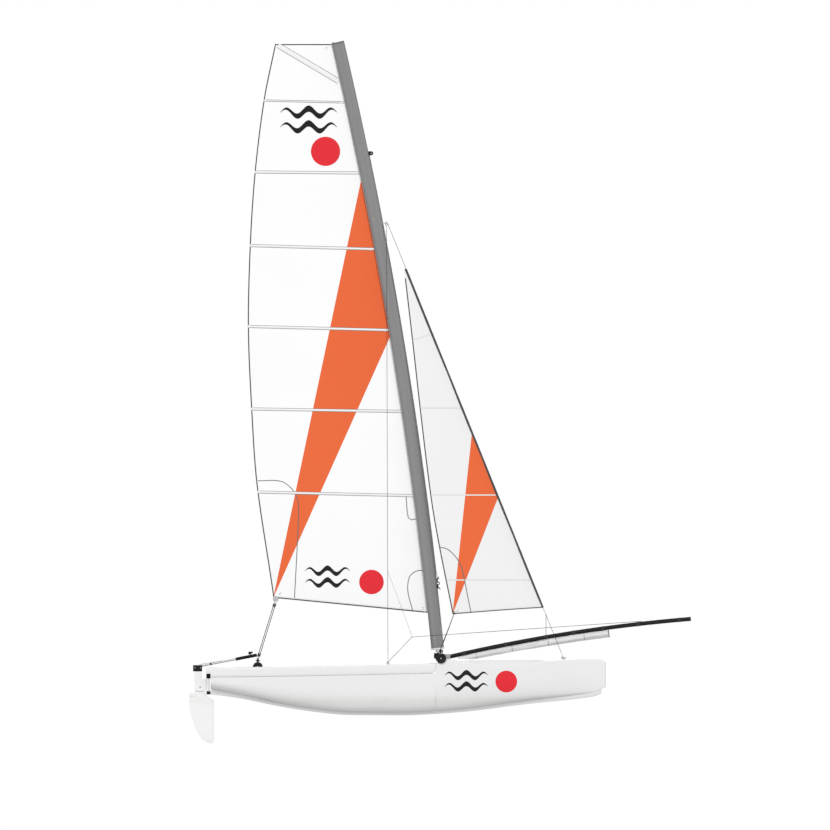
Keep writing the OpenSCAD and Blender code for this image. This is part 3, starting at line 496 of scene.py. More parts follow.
def carbon(name):
    """Black composite tube: twill under a clear coat."""
    material, tree, surface = shader(name, Coat_Weight=0.08, Coat_Roughness=0.1, Specular_IOR_Level=0.15)
    twill = use(tree, WEAVE, Place=profile_place(tree, math.pi / 4), Threads=300.0)["Height"]
    clouds = grain(tree, 12.0)
    tint = blended(tree, twill, (0.004, 0.004, 0.004), (0.014, 0.014, 0.015))
    wire_up(tree, surface, tint, spread(tree, clouds, 0.3, 0.45), twill, 0.0002, 0.3)
    return material


def foam(name, colour):
    """Closed-cell foam or rubber with a pebbled skin."""
    material, tree, surface = shader(name, Specular_IOR_Level=0.15)
    cells = add_node(tree, "TexVoronoi", {"Vector": own_place(tree), "Scale": 330.0})
    clouds = grain(tree, 20.0)
    tint = mottled(tree, clouds, colour, 0.7, 1.3)
    wire_up(tree, surface, tint, spread(tree, clouds, 0.7, 0.85), cells.outputs["Distance"], 0.0008)
    return material


def vinyl(name, colour):
    """Cut vinyl film, slightly glossy, with tiny bubbles."""
    material, tree, surface = shader(name, Specular_IOR_Level=0.25)
    bubbles = grain(tree, 55.0)
    clouds = grain(tree, 4.0)
    tint = mottled(tree, clouds, colour, 0.92)
    wire_up(tree, surface, tint, spread(tree, clouds, 0.28, 0.4), bubbles, 0.0003, 0.3)
    return material


def thread(name, colour):
    """Rows of zigzag stitching, with the cloth between the stitches."""
    material, tree, surface = shader(name)
    stitches = use(tree, WEAVE, Place=profile_place(tree), Threads=170.0)["Height"]
    tint = blended(tree, stitches, shade(colour, 0.75), shade(colour, 1.3))
    wire_up(tree, surface, tint, spread(tree, stitches, 0.6, 0.75), stitches, 0.0006)
    return material


hull_white = gelcoat("hull_gelcoat", (0.8, 0.8, 0.8))
tread_white = gelcoat("deck_tread", (0.74, 0.745, 0.75), tread=True)
keel_grey = gelcoat("keel_gelcoat", (0.76, 0.765, 0.77))
rudder_white = gelcoat("rudder_gelcoat", (0.87, 0.87, 0.87))
# How die lines are drawn out: along x, along y, along z, a little along z, or not at all.
FORE_AND_AFT, ATHWART, UPWARD = (0.02, 1.0, 1.0), (1.0, 0.02, 1.0), (1.0, 1.0, 0.02)
PRESSED, EVEN = (1.0, 1.0, 0.2), (1.0, 1.0, 1.0)
mast_metal = drawn_metal("mast_anodised", (0.25, 0.25, 0.252), 0.36, UPWARD, metallic=0.55)
beam_metal = drawn_metal("beam_anodised", (0.42, 0.43, 0.45), 0.3, ATHWART)
tiller_metal = drawn_metal("tiller_tube", (0.5, 0.51, 0.53), 0.3, FORE_AND_AFT)
stainless = drawn_metal("stainless", (0.62, 0.62, 0.63), 0.16, PRESSED, metallic=1.0)
wire_steel = drawn_metal("stay_wire", (0.02, 0.02, 0.021), 0.4, EVEN, metallic=0.3,
                         wear=(0.2, 0.2, 0.2), shine=0.2)
black_plastic = moulded("black_moulding", (0.008, 0.008, 0.009))
grey_plastic = moulded("grey_moulding", (0.14, 0.14, 0.145))
white_plastic = moulded("white_moulding", (0.78, 0.78, 0.78))
main_cloth = sailcloth("mainsail_cloth", (0.94, 0.94, 0.94))
jib_cloth = sailcloth("jib_cloth", (0.84, 0.84, 0.84))
orange_cloth = sailcloth("orange_cloth", (0.8, 0.118, 0.018))
pocket_cloth = sailcloth("pocket_cloth", (0.86, 0.86, 0.86), 700.0)
seam_thread = thread("seam_thread", (0.13, 0.13, 0.13))
edge_tape = webbing("edge_tape", (0.06, 0.06, 0.062), 700.0)
black_webbing = webbing("black_webbing", (0.02, 0.02, 0.021))
tramp_cloth = tramp_mesh("trampoline_mesh")
chute_cloth = ripstop("chute_cloth", (0.72, 0.725, 0.73))
sheet_rope = braid("black_rope", (0.008, 0.008, 0.009), (0.04, 0.04, 0.042))
control_rope = braid("grey_rope", (0.09, 0.09, 0.1), (0.3, 0.3, 0.32))
pole_black = carbon("pole_composite")
grip_foam = foam("grip_foam", (0.008, 0.008, 0.009))
mark_black = vinyl("mark_black", (0.006, 0.006, 0.006))
mark_red = vinyl("mark_red", (0.78, 0.022, 0.035))


# ------------------------------------------------------------------------ hull lines
# Each line gives a height or share at t, from 0 at the stern to 1 at the bow.
BOTTOM = ((0, 0.302), (0.08, 0.237), (0.2, 0.127), (0.33, 0.052), (0.42, 0.041), (0.52, 0.042),
          (0.65, 0.082), (0.8, 0.165), (0.97, 0.249), (1, 0.3))
KEEL_DEPTH = ((0, 0.072), (0.1, 0.049), (0.3, 0.042), (0.5, 0.038), (0.8, 0.046), (0.97, 0.048), (1, 0.04))
BREADTH = ((0, 0.8), (0.15, 0.93), (0.36, 1), (0.5, 1), (0.65, 0.93), (0.8, 0.72), (0.92, 0.4), (1, 0.07))
CROWN = ((0, 0), (0.6, 0), (0.64, 0.018), (0.685, 0.049), (0.76, 0.05), (0.8, 0.036), (0.89, 0.008),
         (0.97, 0.002), (1, 0))
BOW_DROP = ((0.6, 0), (0.975, 0), (0.99, 0.008), (1, 0.034))
STERN_H, WAIST_H, FOREDECK_H = 0.512, 0.554, 0.597
DECK_EDGE, DECK_LIP, OVERHANG_T = 0.106, 0.012, 0.062
RISE_X = FRONT_BEAM.x + BEAM_R + 0.014


def along(x):
    return (x - STERN_X) / (BOW_X - STERN_X)


def smooth(line, t):
    """Value at t of the smooth line through a few points."""
    i = max([k for k in range(len(line) - 1) if t >= line[k][0]] or [0])

    def slope(k):
        a, b = line[max(k - 1, 0)], line[min(k + 1, len(line) - 1)]
        return (b[1] - a[1]) / (b[0] - a[0])

    w = line[i + 1][0] - line[i][0]
    s = (t - line[i][0]) / w
    return (line[i][1] * (1 + 2 * s) * (1 - s) ** 2 + line[i + 1][1] * s * s * (3 - 2 * s)
            + w * (slope(i) * s * (1 - s) ** 2 - slope(i + 1) * s * s * (1 - s)))


def breadth_at(x):
    """Half breadth of a hull, with its stem rounded in plan."""
    stem_r = BREADTH[-1][1] * HALF_BREADTH
    past = max(0.0, (x - BOW_X + stem_r) / stem_r)
    return smooth(BREADTH, along(x)) * HALF_BREADTH * math.sqrt(max(0.02, 1 - past ** 2))


def deck_h(x):
    return STERN_H + (WAIST_H - STERN_H) * (along(x) / along(STEP_X)) ** 1.4


def foredeck_h(x):
    rise = (x - STEP_X) / (RISE_X - STEP_X)
    if rise < 1:
        return WAIST_H + (FOREDECK_H - WAIST_H) * rise * rise * (3 - 2 * rise)
    return FOREDECK_H - smooth(BOW_DROP, along(x))


def hull_half(x, top, edge_r, crown):
    """Half a section as (distance from the middle, height), from the bottom to the deck's middle."""
    b, lo = breadth_at(x), smooth(BOTTOM, along(x))
    k, side = min(0.02, b * 0.6), lo + (top - crown - lo) * 0.62
    made = [(0, lo)]
    for i in range(15):
        a = math.pi / 2 * i / 14
        made.append((k + (b - k) * math.sin(a) ** 0.82, lo + (side - lo) * (1 - math.cos(a)) ** 1.1))
    made += [(b, side + (top - crown - edge_r - side) * i / 4) for i in range(1, 4)]
    for i in range(7):
        a = math.pi / 2 * i / 6
        made.append((b - edge_r + edge_r * math.cos(a), top - crown - edge_r + edge_r * math.sin(a)))
    flat = b - edge_r
    return made + [(flat * s, top - crown * s ** 3) for s in (0.85, 0.7, 0.55, 0.4, 0.2, 0)]


def both_sides(x, y, half, back=None):
    """A section from half of it, each point (distance from the middle, height)."""
    return ([Vector((x, y + d, h + BASE)) for d, h in half]
            + [Vector((x, y - d, h + BASE)) for d, h in back or reversed(half)])


def hull_ring(x, y):
    fore = x > STEP_X
    top = foredeck_h(x) if fore else deck_h(x) - DECK_EDGE
    edge_r = 0.16 * breadth_at(x) if fore else 0.004
    half = hull_half(x, top, edge_r, max(0.0, smooth(CROWN, along(x))) if fore else 0)
    return both_sides(x, y, half, half[-2:0:-1])


def stations(a, b, count):
    return [a + (b - a) * i / count for i in range(count + 1)]


# Stations by their distance back from the stem.
STEM_STEPS = (0.045, 0.03, 0.02, 0.0132, 0.0125, 0.0115, 0.0095, 0.0065, 0.0035, 0.001, 0)
aft_xs = stations(TRANSOM_X, STEP_X, 44)
fore_xs = (stations(STEP_X + 0.0003, RISE_X, 10)[:-1] + stations(RISE_X, BOW_X - 0.06, 44)
           + [BOW_X - d for d in STEM_STEPS])


# ------------------------------------------------------------------------ laying things on a surface
class Surface:
    """A piece's outside, met from one side along y, for what is stuck or sewn onto it."""

    def __init__(self, shape, near_y=0.0):
        self.tree = BVHTree.FromPolygons(shape.points, shape.faces)
        self.near_y = near_y

    def point(self, x, z, side, lift):
        start = Vector((x, self.near_y + side * 0.6, z))
        hit, normal, _, _ = self.tree.ray_cast(start, Vector((0, -side, 0)))
        if hit is None:
            hit, normal, _, _ = self.tree.find_nearest(Vector((x, self.near_y, z)))
        return hit + (normal if normal.y * side > 0 else -normal) * lift

    def lay(self, rows, side, lift):
        """Rows of (x, z) or (x, z, extra lift) set on the surface, lift clear of it."""
        return [[self.point(p[0], p[1], side, lift + (p[2] if len(p) > 2 else 0)) for p in row]
                for row in rows]


def wave(x, z, w, t):
    """A wave-shaped band that thins towards both ends."""
    rows = []
    for i in range(61):
        s = i / 60
        mid = z + 0.3 * t * math.sin(2.5 * math.tau * s)
        half = 0.02 * t + 0.24 * t * math.sin(math.pi * s)
        rows.append([(x + w * (s - 0.5), level) for level in (mid - half, mid, mid + half)])
    return rows


def sun(x, z, r):
    return [[(x + r * k / 5 * math.cos(math.tau * j / 48), z + r * k / 5 * math.sin(math.tau * j / 48))
             for j in range(49)] for k in range(6)]


def add_mark(shape, surface, side, x, z, w, red, lift):
    """The plain mark: two black waves w long about (x, z), and a red sun, red = (x, z, radius)."""
    for level in (0.13, -0.13):
        shape.add(grid(surface.lay(wave(x, z + level * w, w, w * 0.22), side, lift)), 0)
    shape.add(grid(surface.lay(sun(*red), side, lift)), 1)


# ------------------------------------------------------------------------ hulls
def keel_ring(x, y):
    hi = smooth(BOTTOM, along(x))
    lo = hi - smooth(KEEL_DEPTH, along(x))
    w = min(0.02, breadth_at(x) * 0.6)
    half = [(w, hi), (w * 0.84, hi + (lo - hi) * 0.4), (w * 0.68, hi + (lo - hi) * 0.8),
            (w * 0.55, lo + 0.004), (w * 0.4, lo)]
    return both_sides(x, y, half)


def make_hull(name, sign):
    y = sign * HULL_Y
    shape = Shape().add(skin([hull_ring(x, y) for x in aft_xs + fore_xs]))
    shape.piece(name + "_hull_shell", platform, "hull_white", [hull_white], [name + "_hull"], sharp=32)
    surface, decals = Surface(shape, y), Shape()
    for side in (1, -1):
        add_mark(decals, surface, side, 0.643, 0.206, 0.46, (1.065, 0.2, 0.115), 0.0006)
    decals.piece(name + "_hull_mark", platform, "hull_white", [mark_black, mark_red])
    keel_xs = aft_xs + [x for x in fore_xs[1:] if x < BOW_X - 0.04]
    Shape().add(skin([keel_ring(x, y) for x in keel_xs])).piece(
        name + "_keel_strip", platform, "keel_grey", [keel_grey], [name + "_keel"], sharp=40)
    hatch(name, y)


def hatch(name, y):
    """A screw-down inspection cover with a ribbed rim and finger grips."""
    low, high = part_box("hatch_covers")
    x, r = (low.x + high.x) / 2, (high.x - low.x) / 2
    top = Matrix.Translation((x, y, high.z))
    shape = Shape().add(turned([(0, -0.012), (r, -0.012), (r, -0.004), (r - 0.003, -0.001), (r - 0.009, 0),
                                (r - 0.012, -0.001), (r - 0.014, -0.004), (r - 0.03, -0.0035),
                                (0, -0.003)], 64), 0, top)
    for turn in turns(6):
        grip = top @ Matrix.Rotation(turn, 4, "Z") @ Matrix.Translation((0, r * 0.55, -0.0025))
        shape.add(block(0.007, 0.032, 0.004, 0.003), 0, grip)
    shape.piece(name + "_hatch", platform, "hull_white", [white_plastic], ["hatch_covers"])


def deck_ring(x, y):
    """Section of a side deck: a cap with soft edges whose top is the tread."""
    end_r, past_end = 0.05, 0.0
    if x > STEP_X - end_r:
        past_end = end_r - math.sqrt(max(0.0, end_r ** 2 - (x - STEP_X + end_r) ** 2))
    b, hi = breadth_at(x) + DECK_LIP, deck_h(x)
    lo = (hi - OVERHANG_T if x < TRANSOM_X else hi - DECK_EDGE) + past_end
    r = 0.026
    half = [(b - 0.012, lo), (b - 0.004, lo + 0.003), (b, lo + 0.012), (b, (lo + hi - r) / 2)]
    half += [(b - r + r * math.cos(math.pi / 2 * i / 6), hi - r + r * math.sin(math.pi / 2 * i / 6))
             for i in range(7)]
    half += [(b - 0.045, hi), (b - 0.05, hi + 0.0012), (b * 0.4, hi + 0.0016)]
    return both_sides(x, y, half)


def make_side_deck(name, sign):
    xs = ([STERN_X, STERN_X + 0.006, TRANSOM_X - 0.0003, TRANSOM_X]
          + stations(TRANSOM_X, STEP_X - 0.05, 50)[1:]
          + [STEP_X - d for d in (0.043, 0.036, 0.028, 0.02, 0.013, 0.007, 0.002, 0)])
    rings = [deck_ring(x, sign * HULL_Y) for x in xs]
    points, faces = skin(rings)
    half = len(rings[0]) // 2
    tread = [1 if len(f) == 4 and f[0] % len(rings[0]) in (half - 2, half - 1, half) else 0 for f in faces]
    Shape().add((points, faces), tread).piece(name + "_deck_cap", platform, "deck_white",
                                              [hull_white, tread_white], [name + "_side_deck"], sharp=35)


for side_name, side_sign in SIDES.items():
    make_hull(side_name, side_sign)
    make_side_deck(side_name, side_sign)


# ------------------------------------------------------------------------ crossbeams and trampoline
def soften(obj, width):
    """Rounds the hard edges of a CAD node by width."""
    weld = obj.modifiers.new("one_skin", "WELD")
    weld.merge_threshold = 1e-5
    edge = obj.modifiers.new("soft_edges", "BEVEL")
    edge.width, edge.segments, edge.limit_method = width, 2, "ANGLE"
    edge.angle_limit = math.radians(40)
    edge.use_clamp_overlap = True


def give(finish, *nodes, edge=0.0):
    """A finish for CAD nodes that are shown as they are, with their hard edges softened."""
    for name in nodes:
        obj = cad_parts[name]
        obj.data.materials.clear()
        obj.data.materials.append(finish)
        if edge:
            soften(obj, edge)


def make_beam_caps(name):
    """Moulded plugs with a rounded rim and a screw in the middle."""
    low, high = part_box(name)
    mid, r = (low + high) / 2, (high.z - low.z) / 2
    shape = Shape()
    for sign in (1, -1):
        outer = Vector((mid.x, high.y if sign > 0 else low.y, mid.z))
        face = placed(outer, (0, sign, 0))
        shape.add(turned([(0, -0.018), (r, -0.018), (r, -0.009), (r - 0.002, -0.005), (r - 0.006, -0.002),
                          (r - 0.014, 0), (r - 0.02, -0.0008), (r - 0.024, -0.003), (0.012, -0.0025),
                          (0, -0.0025)], 64), 0, face)
        shape.add(turned([(0, -0.004), (0.006, -0.004), (0.0055, -0.001), (0.003, -0.0002), (0, 0)], 20),
                  1, face)
    shape.piece(name.replace("caps", "plugs"), platform, "black_plastic", [black_plastic, stainless], [name])


def tramp_place(x, s):
    """Point of the trampoline at x, s from 1 at its port edge to -1 at its starboard edge."""
    low, high = TRAMP
    t = (x - low.x) / (high.x - low.x)
    drop, sag = 0.03, 0.025
    z = deck_h(min(x, STEP_X)) - drop - sag * 4 * t * (1 - t) * (1 - s * s) + BASE
    return Vector((x, s * (HULL_Y - breadth_at(x) - DECK_LIP - 0.0006), z))


def make_trampoline():
    """One panel of mesh, hemmed all round, slid into a track at each hull and laced to the rear beam."""
    low, high = TRAMP
    back = low.x + 0.05
    rows, across = 96, 60
    cloth = Shape()
    points, faces = grid([[tramp_place(x, 1 - 2 * j / across) for j in range(across + 1)]
                          for x in stations(back, high.x, rows)])
    hem = []
    for f in faces:
        i, j = divmod(f[0], across + 1)
        hem.append(1 if i < 2 or i > rows - 3 or j < 2 or j > across - 3 or j in (29, 30) else 0)
    cloth.add((points, faces), hem)
    panel = cloth.piece("trampoline_panel", platform, "mesh_black", [tramp_cloth, black_webbing],
                        ["trampoline"], thickness=0.0022)
    length, width = high.x - back, 2 * tramp_place(back, 1).y
    lacing, eyes, lace = Shape(), Shape(), []
    count = 12
    for k in range(count + 1):
        s = -0.94 + 1.88 * k / count
        eye = tramp_place(back + 0.016, s) + Vector((0, 0, 0.002))
        eyes.add(turned([(0.0045, -0.003), (0.0085, -0.003), (0.0095, 0), (0.0085, 0.0022), (0.0055, 0.003),
                         (0.0045, 0.0015)], 24), 0, Matrix.Translation(eye))
        lace.append(eye)
        if k < count:
            lace.append(Vector((REAR_BEAM.x + BEAM_R * 0.97, eye.y + 0.06, REAR_BEAM.z - 0.012)))
    lacing.add(tube(curve_through(lace, 0.012), 0.0022, 8))
    lacing.piece("trampoline_lacing", platform, "mesh_black", [control_rope])
    eyes.piece("trampoline_eyelets", platform, "stainless", [stainless])


def make_toe_straps():
    """Padded webbing straps, held up by their own tension, with sewn ends."""
    low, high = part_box("toe_straps")
    shape = Shape()
    for s in (0.6, -0.6):
        rows = []
        for x in stations(low.x, high.x, 70):
            t = (x - low.x) / (high.x - low.x)
            mid = tramp_place(x, s)
            mid.y = math.copysign((abs(low.y) + high.y) / 2 - 0.025, s)
            mid.z += 0.003 + 0.034 * math.sin(math.pi * t)
            pad = 0.0025 + 0.0025 * min(1.0, max(0.0, min(t, 1 - t) * 12 - 1))
            w = 0.024 + (0.001 if pad > 0.003 else 0)
            rows.append([mid + Vector((0, w * math.cos(a), pad * math.sin(a))) for a in turns(16)])
        shape.add(skin(rows))
        for end in (rows[0], rows[-1]):
            middle = sum(end, Vector()) / len(end)
            shape.add(block(0.05, 0.05, 0.003, 0.001), 1, Matrix.Translation(middle))
    shape.piece("toe_strap_pair", platform, "mesh_black", [black_webbing, seam_thread], ["toe_straps"])


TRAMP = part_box("trampoline")
make_trampoline()
make_toe_straps()
make_beam_caps("front_beam_caps")
make_beam_caps("rear_beam_caps")
give(beam_metal, "front_crossbeam", "rear_crossbeam")


# ------------------------------------------------------------------------ mast
MAST_CHORD, MAST_W = 0.136, 0.062
MAST_L, MAST_BEND, MAST_RAKE = 6.494, 0.106, math.radians(9.35)
BALL = Vector((0.343, 0, 0.516))
FOOT_RISE = 0.04
MAST_UP = Vector((-math.sin(MAST_RAKE), 0, math.cos(MAST_RAKE)))
MAST_FORE = Vector((math.cos(MAST_RAKE), 0, math.sin(MAST_RAKE)))
MAST_LOW = BALL + MAST_UP * FOOT_RISE / math.cos(MAST_RAKE)
MAST_R = MAST_L ** 2 / (8 * MAST_BEND) + MAST_BEND / 2
MAST_HUB = MAST_LOW + MAST_UP * MAST_L / 2 + MAST_FORE * (MAST_BEND - MAST_R)
MAST_TOP_Z = (MAST_LOW + MAST_UP * MAST_L).z


def mast_x(z, d=0.0):
    """Place, at height z, of the line that runs d forward of the mast's middle."""
    return MAST_HUB.x + math.sqrt((MAST_R + d) ** 2 - (z - MAST_HUB.z) ** 2)


def on_mast(z, d=0.0, y=0.0):
    """A matrix on the mast at height z, d forward of its middle: x forward, z up along the mast."""
    at = Vector((mast_x(z, d), y, z))
    fore = (Vector((at.x, 0, at.z)) - MAST_HUB).normalized()
    return placed(at, Vector((-fore.z, 0, fore.x)), fore)


def mast_section():
    """Oval section with a luff groove let into its after edge, as (forward, sideways)."""
    half = [(MAST_CHORD / 2 * math.cos(math.pi * i / 30), MAST_W / 2 * math.sin(math.pi * i / 30))
            for i in range(29)]
    half += [(-0.0668, 0.0046), (-0.0668, 0.0018), (-0.0625, 0.0016), (-0.0605, 0.004), (-0.057, 0.003)]
    return half + [(x, -y) for x, y in reversed(half[1:])]


def make_mast():
    half_arc = math.asin(MAST_L / 2 / MAST_R)
    rings = []
    for i in range(121):
        a = MAST_RAKE + half_arc * (2 * i / 120 - 1)
        fore = Vector((math.cos(a), 0, math.sin(a)))
        rings.append([MAST_HUB + fore * (MAST_R + x) + Vector((0, y, 0)) for x, y in mast_section()])
    Shape().add(skin(rings)).piece("mast_tube", rig, "spar_grey", [mast_metal], ["mast"], sharp=50)
    head = Shape()
    cap = [Vector((MAST_CHORD / 2 * math.cos(a), MAST_W / 2 * math.sin(a))) for a in turns(48)]
    head.add(plate(cap, 0.018, 0.005), 0, on_mast(MAST_TOP_Z + 0.007))
    head.add(turned([(0.006, -0.006), (0.018, -0.006), (0.016, 0), (0.018, 0.006), (0.006, 0.006)], 24), 1,
             on_mast(MAST_TOP_Z - 0.004, -0.05) @ Matrix.Rotation(math.pi / 2, 4, "X"))
    head.piece("mast_cap", rig, "black_plastic", [grey_plastic, stainless], ["mast_head"])


def bolt_heads(shape, finish, places, r=0.004):
    """Domed screw heads on matrices whose z axis stands out of the surface."""
    for at in places:
        shape.add(turned([(0, -0.001), (r, -0.001), (r, 0.0004), (r * 0.8, r * 0.35), (r * 0.4, r * 0.5),
                          (0, r * 0.52)], 14), finish, at)


def make_mast_fittings():
    """Halyards down the fore side, a cleat for each, and rivets."""
    shape = Shape()
    hounds_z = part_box("hounds_tang")[0].z
    block_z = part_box("gennaker_block")[0].z
    for y, top in ((0.011, block_z), (-0.011, hounds_z)):
        path = [Vector((mast_x(z, MAST_CHORD / 2 + 0.0035), y, z)) for z in stations(1.35, top, 60)]
        path = [Vector((mast_x(1.29, MAST_CHORD / 2 + 0.012), y, 1.29))] + path
        shape.add(tube(path, 0.0028, 8), 2)
    for y, z in ((0.011, 1.27), (-0.011, 1.21)):
        base = on_mast(z, MAST_CHORD / 2 + 0.004, y)
        shape.add(block(0.012, 0.016, 0.05, 0.003), 0, base)
        for end in (1, -1):
            horn = [base @ Vector((0.006, 0, end * 0.012)), base @ Vector((0.016, 0, end * 0.022)),
                    base @ Vector((0.019, 0, end * 0.04))]
            shape.add(tube(curve_through(horn, 0.004), 0.0045, 10), 0)
    rivets = [on_mast(z, -0.02, side * (MAST_W / 2 * 0.955)) @ Matrix.Rotation(-side * math.pi / 2, 4, "X")
              for z in (0.62, 0.66, hounds_z - 0.03, hounds_z + 0.05, MAST_TOP_Z - 0.06) for side in (1, -1)]
    bolt_heads(shape, 1, rivets)
    shape.piece("mast_halyards_and_cleats", rig, "black_plastic", [black_plastic, stainless, sheet_rope])


make_mast()
make_mast_fittings()


# ------------------------------------------------------------------------ sails
MAIN_FOOT, MAIN_CAMBER, MAIN_TWIST = 1.618, 0.065, 0.1
MAIN_TACK_H, MAIN_CLEW_H, MAIN_HEAD_H = 1.086, 1.245, 7.1177
MAIN_SHARE = ((0, 1), (0.2, 1.02), (0.34, 0.985), (0.49, 0.92), (0.64, 0.81), (0.77, 0.686), (0.9, 0.527),
              (1, 0.371))
LUFF_OFF = -MAST_CHORD / 2 - 0.0003
JIB_FOOT, JIB_CAMBER, JIB_TWIST, JIB_ANGLE = 0.986, 0.06, 0.06, math.radians(9)
JIB_TACK_H, JIB_CLEW_H, JIB_HEAD_H = 1.140, 1.071, 4.744
JIB_SHARE = ((0, 1), (0.2, 0.85), (0.34, 0.728), (0.585, 0.471), (0.79, 0.247), (1, 0.02))
# Heights where the orange stripes start at the luff, and where the battens stand, as a share of height.
MAIN_STRIPE_Z, JIB_STRIPE_Z = (5.516, 3.852), (2.845, 2.156)
MAIN_BATTENS = (0.0, 0.18, 0.33, 0.475, 0.617, 0.75, 0.875, 1.0)
JIB_BATTENS = (0.0, 0.22, 0.45, 0.68, 1.0)
# Height at the leech, height at the luff, and width.
BATTEN_POCKETS = ((6.359, 6.339, 0.022), (5.601, 5.5905, 0.031), (4.821, 4.784, 0.031),
                  (3.964, 3.926, 0.031), (3.089, 3.063, 0.031), (2.2085, 2.17, 0.03))
# Seam lines, each point (x, z).
HEAD_BATTEN = ((-1.3536, 6.943), (-0.7134, 6.563))
MAIN_PATCHES = (((-1.568, 2.328), (-1.35, 2.328), (-1.241, 2.275), (-1.164, 2.174), (-1.136, 2.034),
                 (-1.148, 1.692), (-1.18, 1.0855)),
                ((0.2046, 1.373), (0.127, 1.376), (0.0488, 1.326), (0.0223, 1.24), (0.0254, 1.132),
                 (0.0721, 0.953)),
                ((0.0021, 2.158), (0.0307, 1.932), (0.1346, 1.929)))
JIB_PATCH = ((0.3466, 1.626), (0.4367, 1.605), (0.5215, 1.531), (0.5851, 1.425), (0.6222, 1.276),
             (0.6911, 0.9265))
JIB_SEAM_Z = (3.1, 2.177, 1.276)
JIB_HEAD_SEAM = ((0.053, 3.81), (0.267, 3.884))
# The waves' middle and width, and the red sun (x, z, radius).
SAIL_MARKS = ((-1.03, 6.155, 0.6, (-0.851, 5.82, 0.155)), (-0.83, 1.31, 0.477, (-0.364, 1.255, 0.13)))
STAY_TOP = Vector((-0.1894, 0, 5.0471))
STAY_UP = Vector((-0.375042, 0, 0.927008))
STAY_AFT = Vector((-0.927008, 0, -0.375042))
WIRE_R = 0.0025


def belly(s):
    return 4.2 * s ** 0.85 * (1 - s) * (1 - 0.25 * s)


def main_at(v, s):
    """Point of the mainsail at v from foot to head and s from luff to leech."""
    zl = MAIN_TACK_H + (MAIN_HEAD_H - MAIN_TACK_H) * v + BASE
    ze = MAIN_CLEW_H + (MAIN_HEAD_H - MAIN_CLEW_H) * v + BASE
    breadth = smooth(MAIN_SHARE, v) * MAIN_FOOT
    xl, xe = mast_x(zl, LUFF_OFF), mast_x(ze, LUFF_OFF) - breadth
    side = breadth * (MAIN_CAMBER * (1 - 0.2 * v) * belly(s) + MAIN_TWIST * v * v * s * s)
    return Vector((xl + (xe - xl) * s, -side, zl + (ze - zl) * s))


def stay_x(z):
    return STAY_TOP.x + (STAY_TOP.z - z) * STAY_UP.x / -STAY_UP.z


def jib_at(v, s):
    zl = JIB_TACK_H + (JIB_HEAD_H - JIB_TACK_H) * v + BASE
    ze = JIB_CLEW_H + (JIB_HEAD_H - JIB_CLEW_H) * v + BASE
    breadth = smooth(JIB_SHARE, v) * JIB_FOOT
    luff, leech = Vector((stay_x(zl), 0, zl)), Vector((stay_x(ze) - breadth, 0, ze))
    flat = (leech - luff) * s
    out = flat.dot(STAY_AFT) / math.cos(JIB_ANGLE) + WIRE_R + 0.0003
    lee = breadth * (JIB_CAMBER * belly(s) + JIB_TWIST * v * s * s)
    c, d = math.cos(JIB_ANGLE), math.sin(JIB_ANGLE)
    turn = Vector((STAY_AFT.x * c, -d, STAY_AFT.z * c))
    across = Vector((-STAY_AFT.x * d, -c, -STAY_AFT.z * d))
    return luff + STAY_UP * flat.dot(STAY_UP) + turn * out + across * lee


def creased(at, v, s, battens):
    """A point of a sail with the small hollows that stand between its battens."""
    gap = next((k for k in range(len(battens) - 1) if battens[k] <= v <= battens[k + 1]), None)
    if gap is None:
        return at(v, s)
    t = (v - battens[gap]) / (battens[gap + 1] - battens[gap])
    dip = math.sin(math.pi * t) * (0.0035 * math.exp(-s * 5) + 0.003 * s * s)
    ripple = 0.0007 * math.sin(34 * math.pi * t) * math.exp(-s * 16)
    return at(v, s) + Vector((0, dip + ripple, 0))


def side_of(line, x, z):
    """Positive above a line between two points, each (x, z)."""
    (ax, az), (bx, bz) = line
    return ((bx - ax) * (z - az) - (bz - az) * (x - ax)) * (1 if bx > ax else -1)


def make_sail(name, body, at, rows, across, battens, finishes, stripe, stands_for):
    """A sail whose second finish fills the stripe between two lines. Gives the piece and its surface."""
    shape = Shape().add(grid([[creased(at, i / rows, j / across, battens) for j in range(across + 1)]
                              for i in range(rows + 1)]))
    mesh = bpy.data.meshes.new(name)
    mesh.from_pydata(shape.points, [], shape.faces)
    cut = bmesh.new()
    cut.from_mesh(mesh)
    for (ax, az), (bx, bz) in stripe:
        normal = Vector((az - bz, 0, bx - ax)).normalized()
        bmesh.ops.bisect_plane(cut, geom=cut.verts[:] + cut.edges[:] + cut.faces[:], dist=1e-5,
                               plane_co=(ax, 0, az), plane_no=normal)
    for face in cut.faces:
        mid = face.calc_center_median()
        inside = side_of(stripe[0], mid.x, mid.z) < 0 < side_of(stripe[1], mid.x, mid.z)
        face.material_index = 1 if inside else 0
    cut.to_mesh(mesh)
    cut.free()
    for finish in finishes:
        mesh.materials.append(finish)
    obj = finished(bpy.data.objects.new(name, mesh), body, stands_for, 60, 0.0014)
    return obj, Surface(shape)


